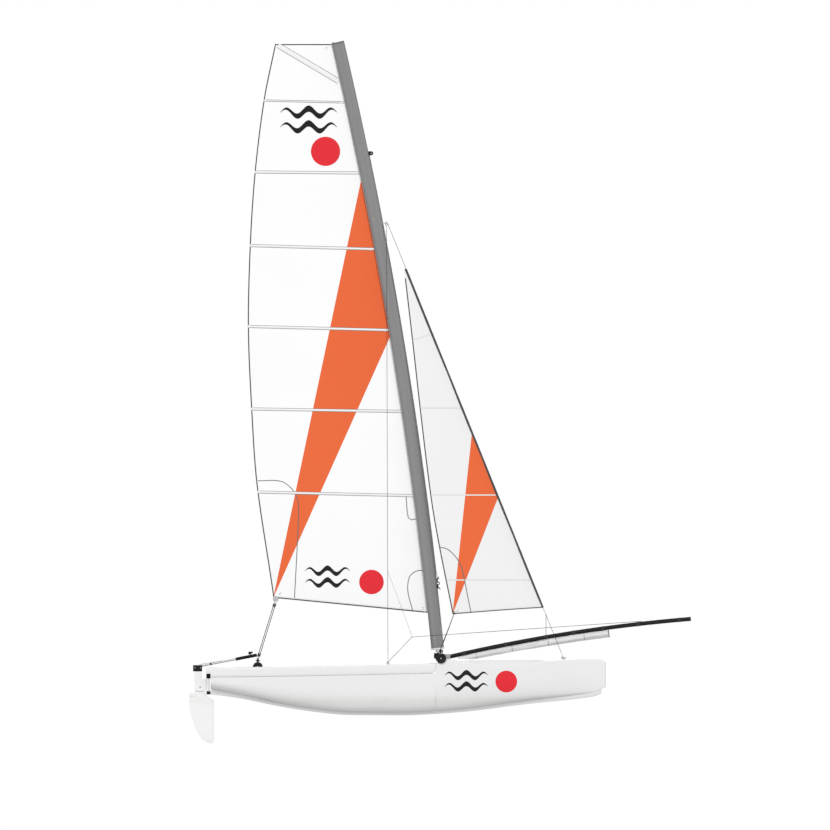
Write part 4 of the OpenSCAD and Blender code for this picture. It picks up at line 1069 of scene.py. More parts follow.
def sew(shape, surface, line, width, raised=0.0, body=0, stitches=1, margin=0.005):
    """A tape laid along a line of (x, z) on both sides, stitched down along its two edges."""
    line = [Vector(p) for p in line]
    n = len(line) - 1
    share = min(0.4, margin / width)
    columns = [(-0.5, 0), (share - 0.5, 0.0004), (share - 0.46, raised * 0.5), (-0.2, raised), (0, raised),
               (0.2, raised), (0.46 - share, raised * 0.5), (0.5 - share, 0.0004), (0.5, 0)]
    for side in (1, -1):
        rows = []
        for i, p in enumerate(line):
            run = (line[min(i + 1, n)] - line[max(i - 1, 0)]).normalized()
            across = Vector((-run.y, run.x)) * width
            rows.append([(p.x + across.x * c, p.y + across.y * c, up) for c, up in columns])
        finish = [stitches if j in (0, len(columns) - 2) else body for j in range(len(columns) - 1)] * n
        shape.add(grid(surface.lay(rows, side, 0.0013)), finish)


def flat_line(a, b, step=0.03):
    """Points between two places, each (x, z)."""
    return [Vector((p.x, p.y)) for p in straight((*a, 0), (*b, 0), step)]


def flat_curve(points, step=0.03):
    return [Vector((p.x, p.y)) for p in curve_through([(x, z, 0) for x, z in points], step)]


def eyelet(shape, surface, x, z, r, finish):
    """A pressed metal ring through the cloth, seen from both sides."""
    for side in (1, -1):
        at = placed(surface.point(x, z, side, 0.001), (0, side, 0))
        shape.add(turned([(r * 0.5, 0), (r * 0.62, 0.0016), (r * 0.8, 0.0022), (r, 0.001), (r, -0.0006)], 28),
                  finish, at)


def main_leech_x(z):
    """Place of the mainsail's leech at height z."""
    v = (z - BASE - MAIN_CLEW_H) / (MAIN_HEAD_H - MAIN_CLEW_H)
    return main_at(max(0.0, min(1.0, v)), 1).x


def make_mainsail():
    luff = [(mast_x(z, LUFF_OFF), z) for z in MAIN_STRIPE_Z]
    clew = main_at(0, 1)
    stripe = [(p, (clew.x, clew.z)) for p in luff]
    cloth, surface = make_sail("mainsail_cloth", rig, main_at, 190, 72, MAIN_BATTENS,
                               [main_cloth, orange_cloth], stripe, ["mainsail"])
    trim = Shape()
    for leech_z, luff_z, width in BATTEN_POCKETS:
        a, b = (main_leech_x(leech_z) + 0.004, leech_z), (mast_x(luff_z, LUFF_OFF) - 0.006, luff_z)
        sew(trim, surface, flat_line(a, b), width, 0.0028)
        cap = surface.point(a[0] + 0.012, a[1], 1, 0)
        trim.add(block(0.03, width * 0.9, 0.011, 0.005), 3, placed(cap, (0, 1, 0), (1, 0, 0)))
        end = surface.point(b[0] - 0.03, b[1], 1, 0)
        trim.add(block(0.05, width * 0.8, 0.012, 0.005), 3, placed(end, (0, 1, 0), (1, 0, 0)))
    sew(trim, surface, flat_line(*HEAD_BATTEN), 0.06, 0.0035)
    for points in MAIN_PATCHES:
        sew(trim, surface, flat_curve(points), 0.009, 0.0002, body=1)
    inset = 0.007
    leech = [main_at(v, 1 - inset / (smooth(MAIN_SHARE, v) * MAIN_FOOT)) for v in stations(0, 1, 120)]
    foot = [main_at(inset / 6, s) for s in stations(0.003, 0.997, 40)]
    head = [main_at(1 - inset / 6, s) for s in stations(0.01, 0.99, 20)]
    for edge in (leech, foot, head):
        sew(trim, surface, [(p.x, p.z) for p in edge], 0.012, 0.0008, body=2, stitches=2)
    tack = main_at(0, 0)
    for x, z, r in ((tack.x - 0.055, tack.z + 0.05, 0.014), (clew.x + 0.075, clew.z + 0.045, 0.014),
                    (main_at(1, 0).x - 0.06, main_at(1, 0).z - 0.045, 0.014)):
        eyelet(trim, surface, x, z, r, 4)
    sewn = trim.piece("mainsail_battens_and_seams", rig, "sail_white",
                      [pocket_cloth, seam_thread, edge_tape, white_plastic, stainless], sharp=50)
    mark = Shape()
    for side in (1, -1):
        for x, z, w, red in SAIL_MARKS:
            add_mark(mark, surface, side, x, z, w, red, 0.0018)
    marks = mark.piece("mainsail_mark", rig, "sail_white", [mark_black, mark_red])


def make_jib():
    clew = jib_at(0, 1)
    stripe = [((stay_x(z), z), (clew.x, clew.z)) for z in JIB_STRIPE_Z]
    cloth, surface = make_sail("jib_cloth", jib_sail, jib_at, 130, 44, JIB_BATTENS,
                               [jib_cloth, orange_cloth], stripe, ["jib"])
    trim = Shape()
    for z in JIB_SEAM_Z:
        v = (z - BASE - JIB_CLEW_H) / (JIB_HEAD_H - JIB_CLEW_H)
        a, b = jib_at(v, 0.995), (stay_x(z) - 0.02, z)
        sew(trim, surface, flat_line((a.x, z), b), 0.014, 0.0002, body=2, margin=0.0012)
    sew(trim, surface, flat_line(*JIB_HEAD_SEAM), 0.014, 0.0002, body=2, margin=0.0012)
    sew(trim, surface, flat_curve(JIB_PATCH), 0.009, 0.0002, body=1)
    leech = [jib_at(v, 1 - 0.007 / (smooth(JIB_SHARE, v) * JIB_FOOT)) for v in stations(0, 0.97, 90)]
    foot = [jib_at(0.0016, s) for s in stations(0.01, 0.993, 30)]
    for edge in (leech, foot):
        sew(trim, surface, [(p.x, p.z) for p in edge], 0.012, 0.0006, body=3, stitches=3)
    eyelet(trim, surface, clew.x + 0.05, clew.z + 0.045, 0.013, 4)
    sewn = trim.piece("jib_seams", jib_sail, "jib_cloth",
                      [pocket_cloth, seam_thread, jib_cloth, edge_tape, stainless], sharp=50)
    rings = []
    tack_z, head_z = JIB_TACK_H + BASE, JIB_HEAD_H + BASE - 0.01
    for z in stations(tack_z + 0.004, head_z, 150):
        at = Vector((stay_x(z), 0, z))
        pull = 0.0006 * math.sin(z * 41) * math.sin(z * 13)
        ring = []
        for a in turns(20):
            aft = max(0.0, math.cos(a)) ** 3 * 0.014
            ring.append(at + STAY_AFT * ((0.0085 + pull) * math.cos(a) + aft)
                        + Vector((0, (0.0075 + pull) * math.sin(a) - aft * 0.16, 0)))
        rings.append(ring)
    sleeve = Shape().add(skin(rings, ends=False)).piece("jib_luff_sleeve", jib_sail, "jib_cloth",
                                                        [edge_tape], thickness=0.0012)


make_mainsail()
make_jib()


# ------------------------------------------------------------------------ standing rigging
BRIDLE_X = 1.4864
BRIDLE_TOP = Vector((BRIDLE_X, 0, 0.905))


def swage(shape, a, b, finish=1, r=0.0042, l=0.06):
    """A pressed terminal on the end a of a wire that leads to b, with its fork and pin."""
    along = (Vector(b) - Vector(a)).normalized()
    at = placed(a, along, (0, 1, 0))
    shape.add(turned([(0, 0.012), (r * 1.3, 0.012), (r * 1.3, 0.02), (r, 0.026), (r, l), (r * 0.8, l + 0.008),
                      (r * 0.62, l + 0.012)], 20), finish, at)
    for side in (1, -1):
        shape.add(block(0.0022, 0.008, 0.034, 0.0009), finish, at @ Matrix.Translation((side * r, 0, 0.004)))
    shape.add(turned([(0, -0.008), (0.0042, -0.008), (0.0042, -0.0062), (0.0028, -0.006), (0.0028, 0.006),
                      (0.0042, 0.0062), (0.0042, 0.008), (0, 0.008)], 16), finish,
              at @ Matrix.Rotation(math.pi / 2, 4, "Y"))


def make_wire(name, ends, stands_for):
    """A laid wire with a terminal at each end."""
    shape = Shape()
    for a, b in ends:
        a, b = Vector(a), Vector(b)
        run = (b - a).normalized() * 0.03
        shape.add(tube(straight(a + run, b - run, 0.0055), WIRE_R, 12, strands=6, lay=0.044))
        swage(shape, a, b)
        swage(shape, b, a)
    shape.piece(name, platform, "wire", [wire_steel, stainless], stands_for, sharp=50)


def make_rigging():
    for name, sign in SIDES.items():
        low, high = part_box(name + "_shroud")
        foot = Vector((low.x + WIRE_R + 0.015, sign * (max(abs(low.y), abs(high.y)) - WIRE_R), low.z))
        head = Vector((low.x + WIRE_R, sign * (min(abs(low.y), abs(high.y)) + WIRE_R), high.z))
        make_wire(name + "_shroud_wire", [(foot, head)], [name + "_shroud"])
        plates = Shape()
        adjuster = placed(foot.lerp(head, 0.009), head - foot, (0, 1, 0))
        plates.add(block(0.016, 0.003, 0.075, 0.001), 0, adjuster)
        for k in range(5):
            hole = adjuster @ Matrix.Translation((0, 0, -0.028 + 0.014 * k))
            plates.add(turned([(0, -0.0022), (0.0026, -0.0022), (0.0026, 0.0022), (0, 0.0022)], 12), 1,
                       hole @ Matrix.Rotation(math.pi / 2, 4, "X"))
        plates.piece(name + "_shroud_adjuster", platform, "stainless", [stainless, wire_steel])
    low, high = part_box("forestay")
    make_wire("forestay_wire", [((high.x - WIRE_R, 0, low.z), (low.x + WIRE_R, 0, high.z))], ["forestay"])
    low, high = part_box("bow_bridle")
    feet = [Vector((high.x - WIRE_R, sign * high.y, low.z)) for sign in (1, -1)]
    starts = [BRIDLE_TOP + (foot - BRIDLE_TOP).normalized() * 0.012 for foot in feet]
    make_wire("bow_bridle_wires", list(zip(starts, feet)), ["bow_bridle"])
    joint = Shape().add(turned([(0, -0.0078), (0.004, -0.0068), (0.0068, -0.004), (0.0078, 0),
                                (0.0068, 0.004), (0.004, 0.0068), (0, 0.0078)], 24),
                        0, Matrix.Translation(BRIDLE_TOP))
    joint.piece("bow_bridle_joint", platform, "stainless", [stainless])


# ------------------------------------------------------------------------ ropes and pulleys
# Finishes of a pulley's wheel, its cheeks and its metal.
PULLEY = [black_plastic, black_plastic, stainless]
CLEW_PIN = Vector((-1.3797, -0.005, 1.0525))
TRAVELLER_EYE = Vector((REAR_BEAM.x, 0, 0.438))


def pulley(shape, at, r, width=0.009):
    """A pulley whose wheel turns on at's z axis and whose strap lies along its x axis."""
    half = width / 2
    shape.add(turned([(r * 0.25, -half), (r, -half), (r * 0.93, -half * 0.6), (r * 0.84, 0),
                      (r * 0.93, half * 0.6), (r, half), (r * 0.25, half)], 36), 0, at)
    outline = [Vector((r * 1.1 * math.cos(a), r * 1.1 * math.sin(a)))
               for a in (math.radians(38 + 284 * k / 24) for k in range(25))]
    outline += [Vector((r * 1.75, -r * 0.3)), Vector((r * 1.75, r * 0.3))]
    for side in (1, -1):
        shape.add(plate(outline, 0.0022, 0.0006), 1, at @ Matrix.Translation((0, 0, side * (half + 0.0016))))
        shape.add(block(r * 1.5, r * 0.35, 0.0012, 0.0005), 2,
                  at @ Matrix.Translation((r * 0.75, 0, side * (half + 0.0033))))
    bolt = half + 0.0045
    shape.add(turned([(0, -bolt), (r * 0.22, -bolt), (r * 0.22, bolt), (0, bolt)], 16), 2, at)


def make_mainsheet():
    """Four falls between a pair of pulleys under the clew and a pair on the traveller car."""
    down = (TRAVELLER_EYE - CLEW_PIN).normalized()
    wheel_r = 0.019
    upper, lower = CLEW_PIN + down * 0.048, TRAVELLER_EYE - down * 0.048
    across = Vector((0, 1, 0)).cross(down).normalized()
    for name, centre, strap, body in (("mainsheet_upper_pulleys", upper, -down, rig),
                                      ("mainsheet_lower_pulleys", lower, down, platform)):
        shape = Shape()
        for side in (1, -1):
            pulley(shape, placed(centre + across * side * 0.0085, across, strap), wheel_r)
        bow = [centre + strap * 0.03 + across * 0.012, centre + strap * 0.044 + across * 0.007,
               centre + strap * 0.049, centre + strap * 0.044 - across * 0.007,
               centre + strap * 0.03 - across * 0.012]
        shape.add(tube(curve_through(bow, 0.002), 0.0026, 12), 2)
        shape.piece(name, body, "black_plastic", PULLEY)
    falls = Shape()
    for side in (1, -1):
        for edge in (1, -1):
            off = Vector((0, edge * wheel_r * 0.9, 0)) + across * side * 0.0085
            falls.add(tube(straight(upper + off, lower + off, 0.02), 0.0042, 12, strands=8, lay=0.03))
        for centre, half_turn in ((upper, -1), (lower, 1)):
            arc = [centre + across * side * 0.0085 + Vector((0, math.cos(a), 0)) * wheel_r * 0.9
                   + down * math.sin(a) * half_turn * wheel_r * 0.9
                   for a in (math.pi * k / 16 for k in range(17))]
            falls.add(tube(arc, 0.0042, 12))
    rope = falls.piece("mainsheet_falls", None, "black_plastic", [sheet_rope])
    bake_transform(rope)


def make_jib_sheets():
    """A sheet from the jib's clew to a pulley on each end of the front beam's middle."""
    clew = jib_at(0, 1) + Vector((0.022, 0.002, 0.02))
    low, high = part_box("jib_sheet_blocks")
    x = (low.x + high.x) / 2
    for name, sign in SIDES.items():
        centre = Vector((x, sign * 0.24, high.z - 0.021))
        lead = (clew - centre).normalized()
        axis = lead.cross(Vector((0, 0, 1))).normalized()
        shape = Shape()
        pulley(shape, placed(centre, axis, (0, 0, -1)), 0.0185, 0.011)
        foot = Matrix.Translation((x, centre.y, FRONT_BEAM.z + BEAM_R + 0.0045))
        shape.add(block(0.034, 0.024, 0.007, 0.002), 2, foot)
        shape.add(tube([Vector((x, centre.y, FRONT_BEAM.z + BEAM_R + 0.005)),
                        centre + Vector((0, 0, -0.02))], 0.005, 14), 2)
        shape.piece(name + "_jib_pulley", platform, "black_plastic", PULLEY, ["jib_sheet_blocks"])
        side = axis.cross(lead).normalized() * 0.0165
        start = centre + side
        line = Shape().add(tube(straight(start, clew, 0.02), 0.0038, 12, strands=8, lay=0.028))
        wrap = [centre + side * math.cos(a) - lead * 0.0165 * math.sin(a)
                for a in (math.pi * 0.9 * k / 14 for k in range(15))]
        line.add(tube(wrap, 0.0038, 12))
        rope = line.piece(name + "_jib_sheet", None, "black_plastic", [sheet_rope])
        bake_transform(rope)
    knot = Shape()
    for shift in (0, 1):
        loop = [clew + Vector((0.012 * math.cos(a) - 0.004, 0.006 * math.sin(2 * a + shift),
                               0.012 * math.sin(a) - 0.004)) for a in turns(20)]
        knot.add(tube(loop, 0.0038, 10, closed=True))
    knot.piece("jib_sheet_knot", jib_sail, "black_plastic", [sheet_rope])


def make_gennaker_sheets():
    """A sheet each side from the deck up through a shock-cord ring and forward to the bowsprit."""
    tack = pole_at(POLE_HALF * 0.6) + Vector((0, 0, 0.026))
    for name, sign in SIDES.items():
        foot = Vector((-0.189, sign * 0.99, 0.405))
        ring = Vector((0.066, sign * 0.62, 0.672))
        bow = tack + Vector((0, sign * 0.012, 0))
        shape = Shape()
        for a, b in ((foot, ring), (ring, bow)):
            shape.add(tube(straight(a, b, 0.03), 0.0026, 10, strands=6, lay=0.03))
        shape.add(tube([ring + Vector((0.008 * math.cos(a), 0, 0.008 * math.sin(a))) for a in turns(20)],
                       0.0016, 10, closed=True), 1)
        mid = Vector((-0.19, sign * (0.99 - 0.215 * 1.02), 1.37))
        shape.add(tube(straight(ring + Vector((0, 0, 0.008)), mid, 0.03), 0.0014, 8), 2)
        base = placed(foot + Vector((0, 0, -0.011)), (0, 0, 1), ring - foot)
        shape.add(block(0.03, 0.016, 0.004, 0.0015), 1, base)
        pulley(shape, placed(foot, (0, 1, 0), (0, 0, -1)), 0.009, 0.006)
        shape.piece(name + "_gennaker_sheet", platform, "black_plastic",
                    [sheet_rope, stainless, control_rope])


# ------------------------------------------------------------------------ bowsprit and chute
POLE_R = 0.0225
POLE_FOOT, POLE_TIP, POLE_RISE = Vector((0.438, 0, 0.457)), Vector((3.022, 0, 0.864)), 0.049
POLE_SPAN = (POLE_TIP - POLE_FOOT).length
POLE_BEND = POLE_SPAN ** 2 / (8 * POLE_RISE) + POLE_RISE / 2
POLE_ALONG = (POLE_TIP - POLE_FOOT).normalized()
POLE_UP = Vector((-POLE_ALONG.z, 0, POLE_ALONG.x))
POLE_HUB = (POLE_FOOT + POLE_TIP) / 2 + POLE_UP * (POLE_RISE - POLE_BEND)
POLE_HALF = math.asin(POLE_SPAN / 2 / POLE_BEND)
POLE_EYE_X = 2.46
POLE_BANDS_X = (0.62, 1.06, BRIDLE_X, 1.78, 2.09, POLE_EYE_X, 2.9)


def pole_at(a, off=0.0):
    """Point of the bowsprit at angle a from its middle, off above its centreline."""
    return POLE_HUB + (POLE_UP * math.cos(a) + POLE_ALONG * math.sin(a)) * (POLE_BEND + off)


def pole_angle(x):
    """Angle from the bowsprit's middle at which it stands at x."""
    low, high = -POLE_HALF, POLE_HALF
    for _ in range(40):
        mid = (low + high) / 2
        low, high = (mid, high) if pole_at(mid).x < x else (low, mid)
    return low


def pole_frame(a, off=0.0):
    along = (pole_at(a + 1e-3) - pole_at(a - 1e-3)).normalized()
    return placed(pole_at(a, off), along, (0, 1, 0))


def band(shape, finish, a, r, length):
    """A moulded or bound ring round the bowsprit."""
    half = length / 2
    shape.add(turned([(POLE_R - 0.002, -half), (r - 0.0006, -half), (r, -half + 0.0015), (r, half - 0.0015),
                      (r - 0.0006, half), (POLE_R - 0.002, half)], 40), finish, pole_frame(a))


def make_bowsprit():
    shape = Shape()
    low, high = -POLE_HALF, POLE_HALF
    shape.add(tube([pole_at(low + (high - low) * k / 160) for k in range(161)], POLE_R, 40))
    for x in POLE_BANDS_X:
        band(shape, 1, pole_angle(x), POLE_R + 0.0014, 0.03)
    band(shape, 2, high - 0.001, POLE_R, 0.03)
    shape.add(turned([(0, -0.005), (POLE_R - 0.004, -0.005), (POLE_R - 0.001, -0.0018),
                      (POLE_R - 0.004, -0.0008), (POLE_R - 0.012, 0), (0, 0)], 40), 2, pole_frame(high))
    eye = pole_frame(pole_angle(POLE_EYE_X), POLE_R + 0.001)
    shape.add(tube([eye @ Vector((0.009 * math.sin(a), 0, 0.011 * math.cos(a))) for a in
                    (math.pi * k / 16 - math.pi / 2 for k in range(17))], 0.0022, 12), 3)
    shape.piece("bowsprit_tube", platform, "pole_black",
                [pole_black, black_webbing, black_plastic, stainless], ["bowsprit_pole"])


CHUTE_TAIL, CHUTE_MOUTH = 0.5485, 2.1385


def chute_ring(u, wrinkle=0.0, sides=72):
    """Ring of the chute at u from its tail to its mouth, hung close under the bowsprit."""
    a = pole_angle(CHUTE_TAIL) + (pole_angle(CHUTE_MOUTH) - pole_angle(CHUTE_TAIL)) * u
    w, d = 0.03 + 0.065 * u * u, 0.025 + 0.015 * math.sqrt(u)
    centre = pole_frame(a, -POLE_R - 0.0005 - d)
    ring = []
    for t in turns(sides):
        fold = wrinkle * (0.5 * math.sin(5 * t + 9 * u) + 0.5 * math.sin(3 * t - 31 * u) * math.sin(17 * u))
        fold -= wrinkle * 1.4 * max(0.0, math.sin(math.pi * 9 * u)) ** 6 * (0.5 - 0.5 * math.cos(t * 2))
        size = 1 - max(0.0, 0.055 + fold)
        ring.append(centre @ Vector((w * size * math.cos(t), d * size * math.sin(t), 0)))
    return ring


def make_chute():
    """A cloth sock that takes the furled gennaker, drawn in at its tail and hooped at its mouth."""
    rings = [chute_ring(k / 130, 0.11 * min(1.0, (1 - k / 130) * 8)) for k in range(131)]
    sock = Shape().add(skin(rings, ends=False))
    cloth = sock.piece("chute_sock", platform, "chute_cloth", [chute_cloth], ["gennaker_chute"],
                       sharp=60, thickness=0.001)
    ties = Shape()
    for u in (0.12, 0.36, 0.6, 0.84):
        around = chute_ring(u, 0, 36)
        middle = sum(around, Vector()) / len(around)
        wide = [middle + (p - middle) * 1.03 for p in around]
        ties.add(tube(wide, 0.0016, 8, closed=True))
    tail = pole_frame(pole_angle(CHUTE_TAIL + 0.004), -POLE_R - 0.026)
    ties.add(turned([(0, -0.006), (0.012, -0.006), (0.024, -0.001), (0.026, 0.006), (0.02, 0.012),
                     (0, 0.012)], 28), 1, tail)
    tied = ties.piece("chute_ties", platform, "chute_cloth", [black_webbing, chute_cloth])
    mouth = pole_frame(pole_angle(CHUTE_MOUTH + 0.006), -POLE_R - 0.0405)
    hoop = [mouth @ Vector((0.0905 * math.cos(t), 0.0358 * math.sin(t), 0)) for t in turns(90)]
    rim = Shape().add(tube(hoop, 0.0042, 14, closed=True))
    rim.piece("chute_mouth_hoop", platform, "black_plastic", [black_plastic], ["chute_hoop"])


make_rigging()
make_mainsheet()
make_jib_sheets()
make_gennaker_sheets()
make_bowsprit()
make_chute()


# ------------------------------------------------------------------------ rudders and steering
BLADE_BOLT = Vector((-2.18, 0, 0.14))
EAR_R = 0.0445
STOCK_PIN_X = -2.095
ARM_FOOT, ARM_END = (-2.195, 0.36), (-1.578, 0.481)
BAR_X, BAR_Z = -1.653, 0.5018
BLADE_AFT = ((-0.298, -2.072), (-0.291, -2.109), (-0.254, -2.16), (-0.181, -2.211), (-0.101, -2.243),
             (-0.03, -2.268), (0.06, -2.29), (0.12, -2.296), (0.213, -2.296))
BLADE_FORE = ((-0.298, -2.0725), (-0.2965, -2.055), (-0.29, -2.046), (-0.272, -2.037), (-0.26, -2.036),
              (0.16, -2.036), (0.193, -2.089), (0.213, -2.115))


def edge_at(line, h):
    """Place along a line of (height, x), straight between its points."""
    for (a, xa), (b, xb) in zip(line, line[1:]):
        if h <= b:
            return xa + (xb - xa) * (h - a) / (b - a)
    return line[-1][1]


def foil_ring(h, y):
    """Section of a rudder blade: round nose, thickest a third back, thin tail."""
    aft, fore = edge_at(BLADE_AFT, h), edge_at(BLADE_FORE, h)
    chord = fore - aft
    thick = min(0.0138, 0.0138 * chord / 0.2 + 0.001) * min(1.0, (h + 0.302) / 0.05 + 0.2)
    half = []
    for k in range(25):
        c = (1 - math.cos(math.pi * k / 24)) / 2
        t = 2.6 * (0.2969 * math.sqrt(c) - 0.126 * c - 0.3516 * c * c + 0.2843 * c ** 3
                   - 0.1015 * c ** 4) * 3.85
        half.append((fore - chord * c, max(0.0008, thick * min(1.0, t))))
    return ([Vector((x, y + d, h + BASE)) for x, d in half]
            + [Vector((x, y - d, h + BASE)) for x, d in reversed(half)])


def make_blade(name, sign):
    y = sign * HULL_Y
    heights = [-0.298, -0.2965, -0.294, -0.29, -0.284, -0.278, -0.27, -0.26] + stations(-0.25, 0.16, 50)
    heights += stations(0.165, 0.213, 8)
    shape = Shape().add(skin([foil_ring(h, y) for h in heights]))
    outline = [Vector((BLADE_BOLT.x + EAR_R * math.cos(a), BLADE_BOLT.z + EAR_R * math.sin(a)))
               for a in (math.radians(k) for k in range(-30, 211, 8))]
    outline += [Vector(p) for p in ((-2.239, 0.092), (-2.287, 0.082), (-2.294, 0.062), (-2.285, 0.04),
                                    (-2.125, 0.04), (-2.118, 0.055))]
    shape.add(plate(outline, 0.022, 0.003), 0, placed((0, y, 0), (0, -1, 0), (1, 0, 0)))
    shape.piece(name + "_blade_foil", name + "_blade", "rudder_white", [rudder_white],
                [name + "_rudder_blade"], sharp=45)


def arm_z(x):
    """Height of the tiller arms' centreline at x."""
    (foot_x, foot_z), (end_x, end_z) = ARM_FOOT, ARM_END
    return foot_z + (end_z - foot_z) * (x - foot_x) / (end_x - foot_x)


def split_finish(node, finishes, pick):
    """A CAD node shown as it is, each face's finish picked by where the face is."""
    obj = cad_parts[node]
    obj.data.materials.clear()
    for finish in finishes:
        obj.data.materials.append(finish)
    for face in obj.data.polygons:
        face.material_index = pick(face.center)


def make_stock(name, sign):
    """The rudder head: white cheeks, stainless pin and bolt, black cap with its screws."""
    y = sign * HULL_Y
    node = name + "_rudder_stock"

    def pick(p):
        if p.z > 0.3075:
            return 1
        off = math.hypot(p.x - BLADE_BOLT.x, p.z - BLADE_BOLT.z)
        on_pin = math.hypot(p.x - STOCK_PIN_X, p.y - y) < 0.0055
        return 2 if on_pin or (off < 0.0075 and abs(p.y - y) > 0.0252) else 0

    split_finish(node, [rudder_white, black_plastic, stainless], pick)
    soften(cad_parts[node], 0.0022)
    shape = Shape()
    for side in (1, -1):
        face = placed((BLADE_BOLT.x, y + side * 0.0291, BLADE_BOLT.z), (0, side, 0))
        shape.add(turned([(0.0055, -0.004), (0.011, -0.004), (0.011, -0.0028), (0.0085, -0.0026),
                          (0.0085, 0.0002), (0, 0.0002)], 6), 0, face)
        for x, z in ((-2.232, 0.124), (-2.232, 0.205), (-2.232, 0.345), (-2.176, 0.345)):
            shape.add(turned([(0, -0.001), (0.005, -0.001), (0.0045, 0.001), (0.003, 0.0018),
                              (0, 0.002)], 18), 0, placed((x, y + side * 0.025, z), (0, side, 0)))
    shape.piece(name + "_rudder_bolts", name + "_rudder", "stainless", [stainless])
    lines = Shape()
    path = [Vector((x, y + off, z))
            for x, off, z in ((-2.19, 0.012, 0.378), (-2.15, 0.018, 0.388), (-2.08, 0.02, 0.398))]
    path += [Vector((x, y + 0.014, arm_z(x) + 0.0125)) for x in (-2.0, -1.94)]
    lines.add(tube(curve_through(path, 0.01), 0.0018, 8))
    lines.piece(name + "_rudder_downhaul", name + "_rudder", "rudder_white", [control_rope])


def make_tiller_arm(name, sign):
    """An alloy tube with a ribbed foam grip and the pin that carries the crossbar."""
    y = sign * HULL_Y

    def at_x(x):
        return Vector((x, y, arm_z(x)))

    root, grip_start, end = at_x(-2.168), at_x(-1.803), at_x(ARM_END[0])
    run = (end - root).normalized()
    shape = Shape().add(tube(straight(root, grip_start + run * 0.02, 0.05), 0.011, 28))
    profile = [(0.0112, 0.0), (0.0155, 0.0015), (0.0168, 0.006)]
    for k in range(9):
        h = 0.02 + k * 0.0205
        profile += [(0.0168, h), (0.0158, h + 0.0015), (0.0158, h + 0.0035), (0.0168, h + 0.005)]
    profile += [(0.0168, 0.221), (0.0162, 0.2255), (0.012, 0.2285), (0, 0.229)]
    shape.add(turned(profile, 36), 1, placed(grip_start, run, (0, 1, 0)))
    shape.add(turned([(0.011, -0.004), (0.0135, -0.003), (0.0135, 0.01), (0.0115, 0.012)], 28), 2,
              placed(at_x(-2.07), run, (0, 1, 0)))
    pin_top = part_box(name + "_tiller_arm")[1].z
    shape.add(turned([(0, arm_z(BAR_X)), (0.0039, arm_z(BAR_X)), (0.0039, pin_top - 0.001), (0.003, pin_top),
                      (0, pin_top)], 20), 3, Matrix.Translation((BAR_X, y, 0)))
    shape.add(turned([(0.004, 0), (0.011, 0), (0.011, 0.003), (0.0042, 0.0035)], 24), 3,
              Matrix.Translation((BAR_X, y, arm_z(BAR_X) + 0.0165)))
    shape.piece(name + "_tiller_arm_tube", name + "_rudder", "tiller_black",
                [tiller_metal, grip_foam, black_plastic, stainless], [name + "_tiller_arm"])


def make_crossbar():
    """The bar between the tillers, and the extension on its rubber joint."""
    low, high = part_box("tiller_crossbar")
    half = (high.y - low.y) / 2 - 0.015
    bar = straight((BAR_X, -half + 0.03, BAR_Z), (BAR_X, half - 0.03, BAR_Z), 0.1)
    shape = Shape().add(tube(bar, 0.0125, 32))
    for sign in (1, -1):
        y = sign * HULL_Y
        boss = Matrix.Translation((BAR_X, y, BAR_Z))
        shape.add(turned([(0.0044, -0.0145), (0.0135, -0.0145), (0.015, -0.013), (0.015, 0.013),
                          (0.0135, 0.0145), (0.0044, 0.0145)], 32), 1, boss)
        sleeve = straight((BAR_X, y - sign * 0.013, BAR_Z), (BAR_X, y - sign * 0.07, BAR_Z), 0.02)
        shape.add(tube(sleeve, 0.0136, 28), 1)
    shape.piece("tiller_crossbar_tube", crossbar, "tiller_black", [tiller_metal, black_plastic],
                ["tiller_crossbar"])
    low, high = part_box("tiller_extension")
    x, z, r = (low.x + high.x) / 2, (low.z + high.z) / 2, (high.z - low.z) / 2
    root = placed((x, low.y, z), (0, 1, 0))
    ext = Shape().add(turned([(0, 0.035), (r * 0.8, 0.035), (r * 0.8, 0.56), (0, 0.56)], 28), 0, root)
    grip = [(r * 0.7, 0.5), (r * 0.95, 0.503), (r, 0.51)]
    for k in range(13):
        grip += [(r, 0.52 + k * 0.02), (r * 0.9, 0.522 + k * 0.02), (r * 0.9, 0.524 + k * 0.02),
                 (r, 0.526 + k * 0.02)]
    grip += [(r, 0.79), (r * 0.95, 0.797), (r * 0.6, 0.8), (0, 0.8)]
    ext.add(turned(grip, 32), 1, root)
    ext.add(turned([(0, 0), (r * 0.7, 0), (r, 0.004), (r, 0.012), (r * 0.6, 0.018), (r * 0.6, 0.026),
                    (r, 0.032), (r, 0.05), (r * 0.8, 0.054)], 28), 1, root)
    ext.add(block(0.02, 0.024, 0.02, 0.004), 2,
            Matrix.Translation((BAR_X + 0.006, low.y + 0.008, BAR_Z + 0.003)))
    ext.piece("tiller_extension_tube", crossbar, "tiller_black", [tiller_metal, grip_foam, black_plastic],
              ["tiller_extension"])


for side_name, side_sign in SIDES.items():
    make_blade(side_name, side_sign)
    make_stock(side_name, side_sign)
    make_tiller_arm(side_name, side_sign)
make_crossbar()


# ------------------------------------------------------------------------ small fittings
give(stainless, "dolphin_striker", "shroud_plates", "bridle_plates", "hounds_tang", "mainsheet_block",
     "pole_socket", edge=0.0006)
give(stainless, "hounds_swivel")
give(black_webbing, "pole_strop")
give(black_plastic, "mainsheet_track", "gennaker_block", "traveller_car", "mast_step", edge=0.0012)
give(black_plastic, "port_gudgeons", "starboard_gudgeons", edge=0.0015)
give(white_plastic, "mast_foot", edge=0.001)


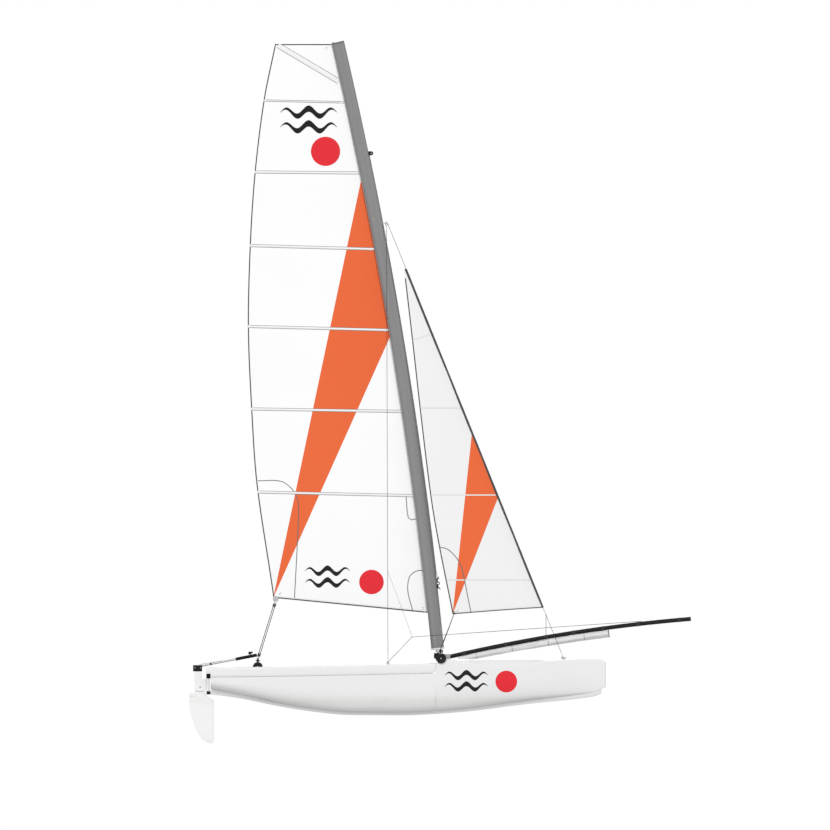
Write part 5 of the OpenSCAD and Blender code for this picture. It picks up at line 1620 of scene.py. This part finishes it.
# ------------------------------------------------------------------------ floor, light and camera
# Direction each light shines in, its strength, and how wide it is in degrees.
LIGHTS = (("key", (0.35, 0.8, -0.5), 1.42, 25), ("fill", (-0.6, 0.6, -0.2), 0.5, 60),
          ("back", (0.2, -0.85, -0.35), 0.8, 40))
VIEW_WIDTH, VIEW_FROM = 8.798, (0.0975, -20, 3.0253)
FLOOR_REACH = 40


def make_stage():
    """A plain pale floor at the water, soft light, and the camera square on to the starboard side."""
    mesh = bpy.data.meshes.new("floor")
    corners = [(x * FLOOR_REACH, y * FLOOR_REACH, 0) for x, y in ((-1, -1), (1, -1), (1, 1), (-1, 1))]
    mesh.from_pydata(corners, [], [(0, 1, 2, 3)])
    material, tree, surface = shader("floor_paint", Roughness=0.9)
    clouds = grain(tree, 0.6)
    tree.links.new(blended(tree, clouds, (0.87, 0.87, 0.87), (0.9, 0.9, 0.9)), surface.inputs["Base Color"])
    mesh.materials.append(material)
    floor = bpy.data.objects.new("floor", mesh)
    bpy.context.scene.collection.objects.link(floor)
    floor.visible_shadow = False
    floor.visible_diffuse = False

    world = bpy.data.worlds.new("studio")
    world.use_nodes = True
    bpy.context.scene.world = world
    tree = world.node_tree
    seen, lit = tree.nodes["Background"], tree.nodes.new("ShaderNodeBackground")
    seen.inputs["Color"].default_value = (1, 1, 1, 1)
    lit.inputs["Color"].default_value = (0.925, 0.925, 0.93, 1)
    lit.inputs["Strength"].default_value = 0.65
    path = tree.nodes.new("ShaderNodeLightPath")
    mix = tree.nodes.new("ShaderNodeMixShader")
    tree.links.new(path.outputs["Is Camera Ray"], mix.inputs[0])
    tree.links.new(lit.outputs[0], mix.inputs[1])
    tree.links.new(seen.outputs[0], mix.inputs[2])
    tree.links.new(mix.outputs[0], tree.nodes["World Output"].inputs["Surface"])

    for name, aim, strength, angle in LIGHTS:
        light = bpy.data.lights.new(name, "SUN")
        light.energy, light.angle = strength, math.radians(angle)
        lamp = bpy.data.objects.new(name, light)
        lamp.rotation_euler = Vector(aim).to_track_quat("-Z", "Y").to_euler()
        bpy.context.scene.collection.objects.link(lamp)

    camera = bpy.data.cameras.new("camera")
    camera.type, camera.ortho_scale = "ORTHO", VIEW_WIDTH
    camera.clip_end = 100
    camera.dof.use_dof = False
    view = bpy.data.objects.new("camera", camera)
    view.location = VIEW_FROM
    view.rotation_euler = (math.pi / 2, 0, 0)
    bpy.context.scene.collection.objects.link(view)
    bpy.context.scene.camera = view
    bpy.context.scene.view_settings.view_transform = "Standard"


make_stage()
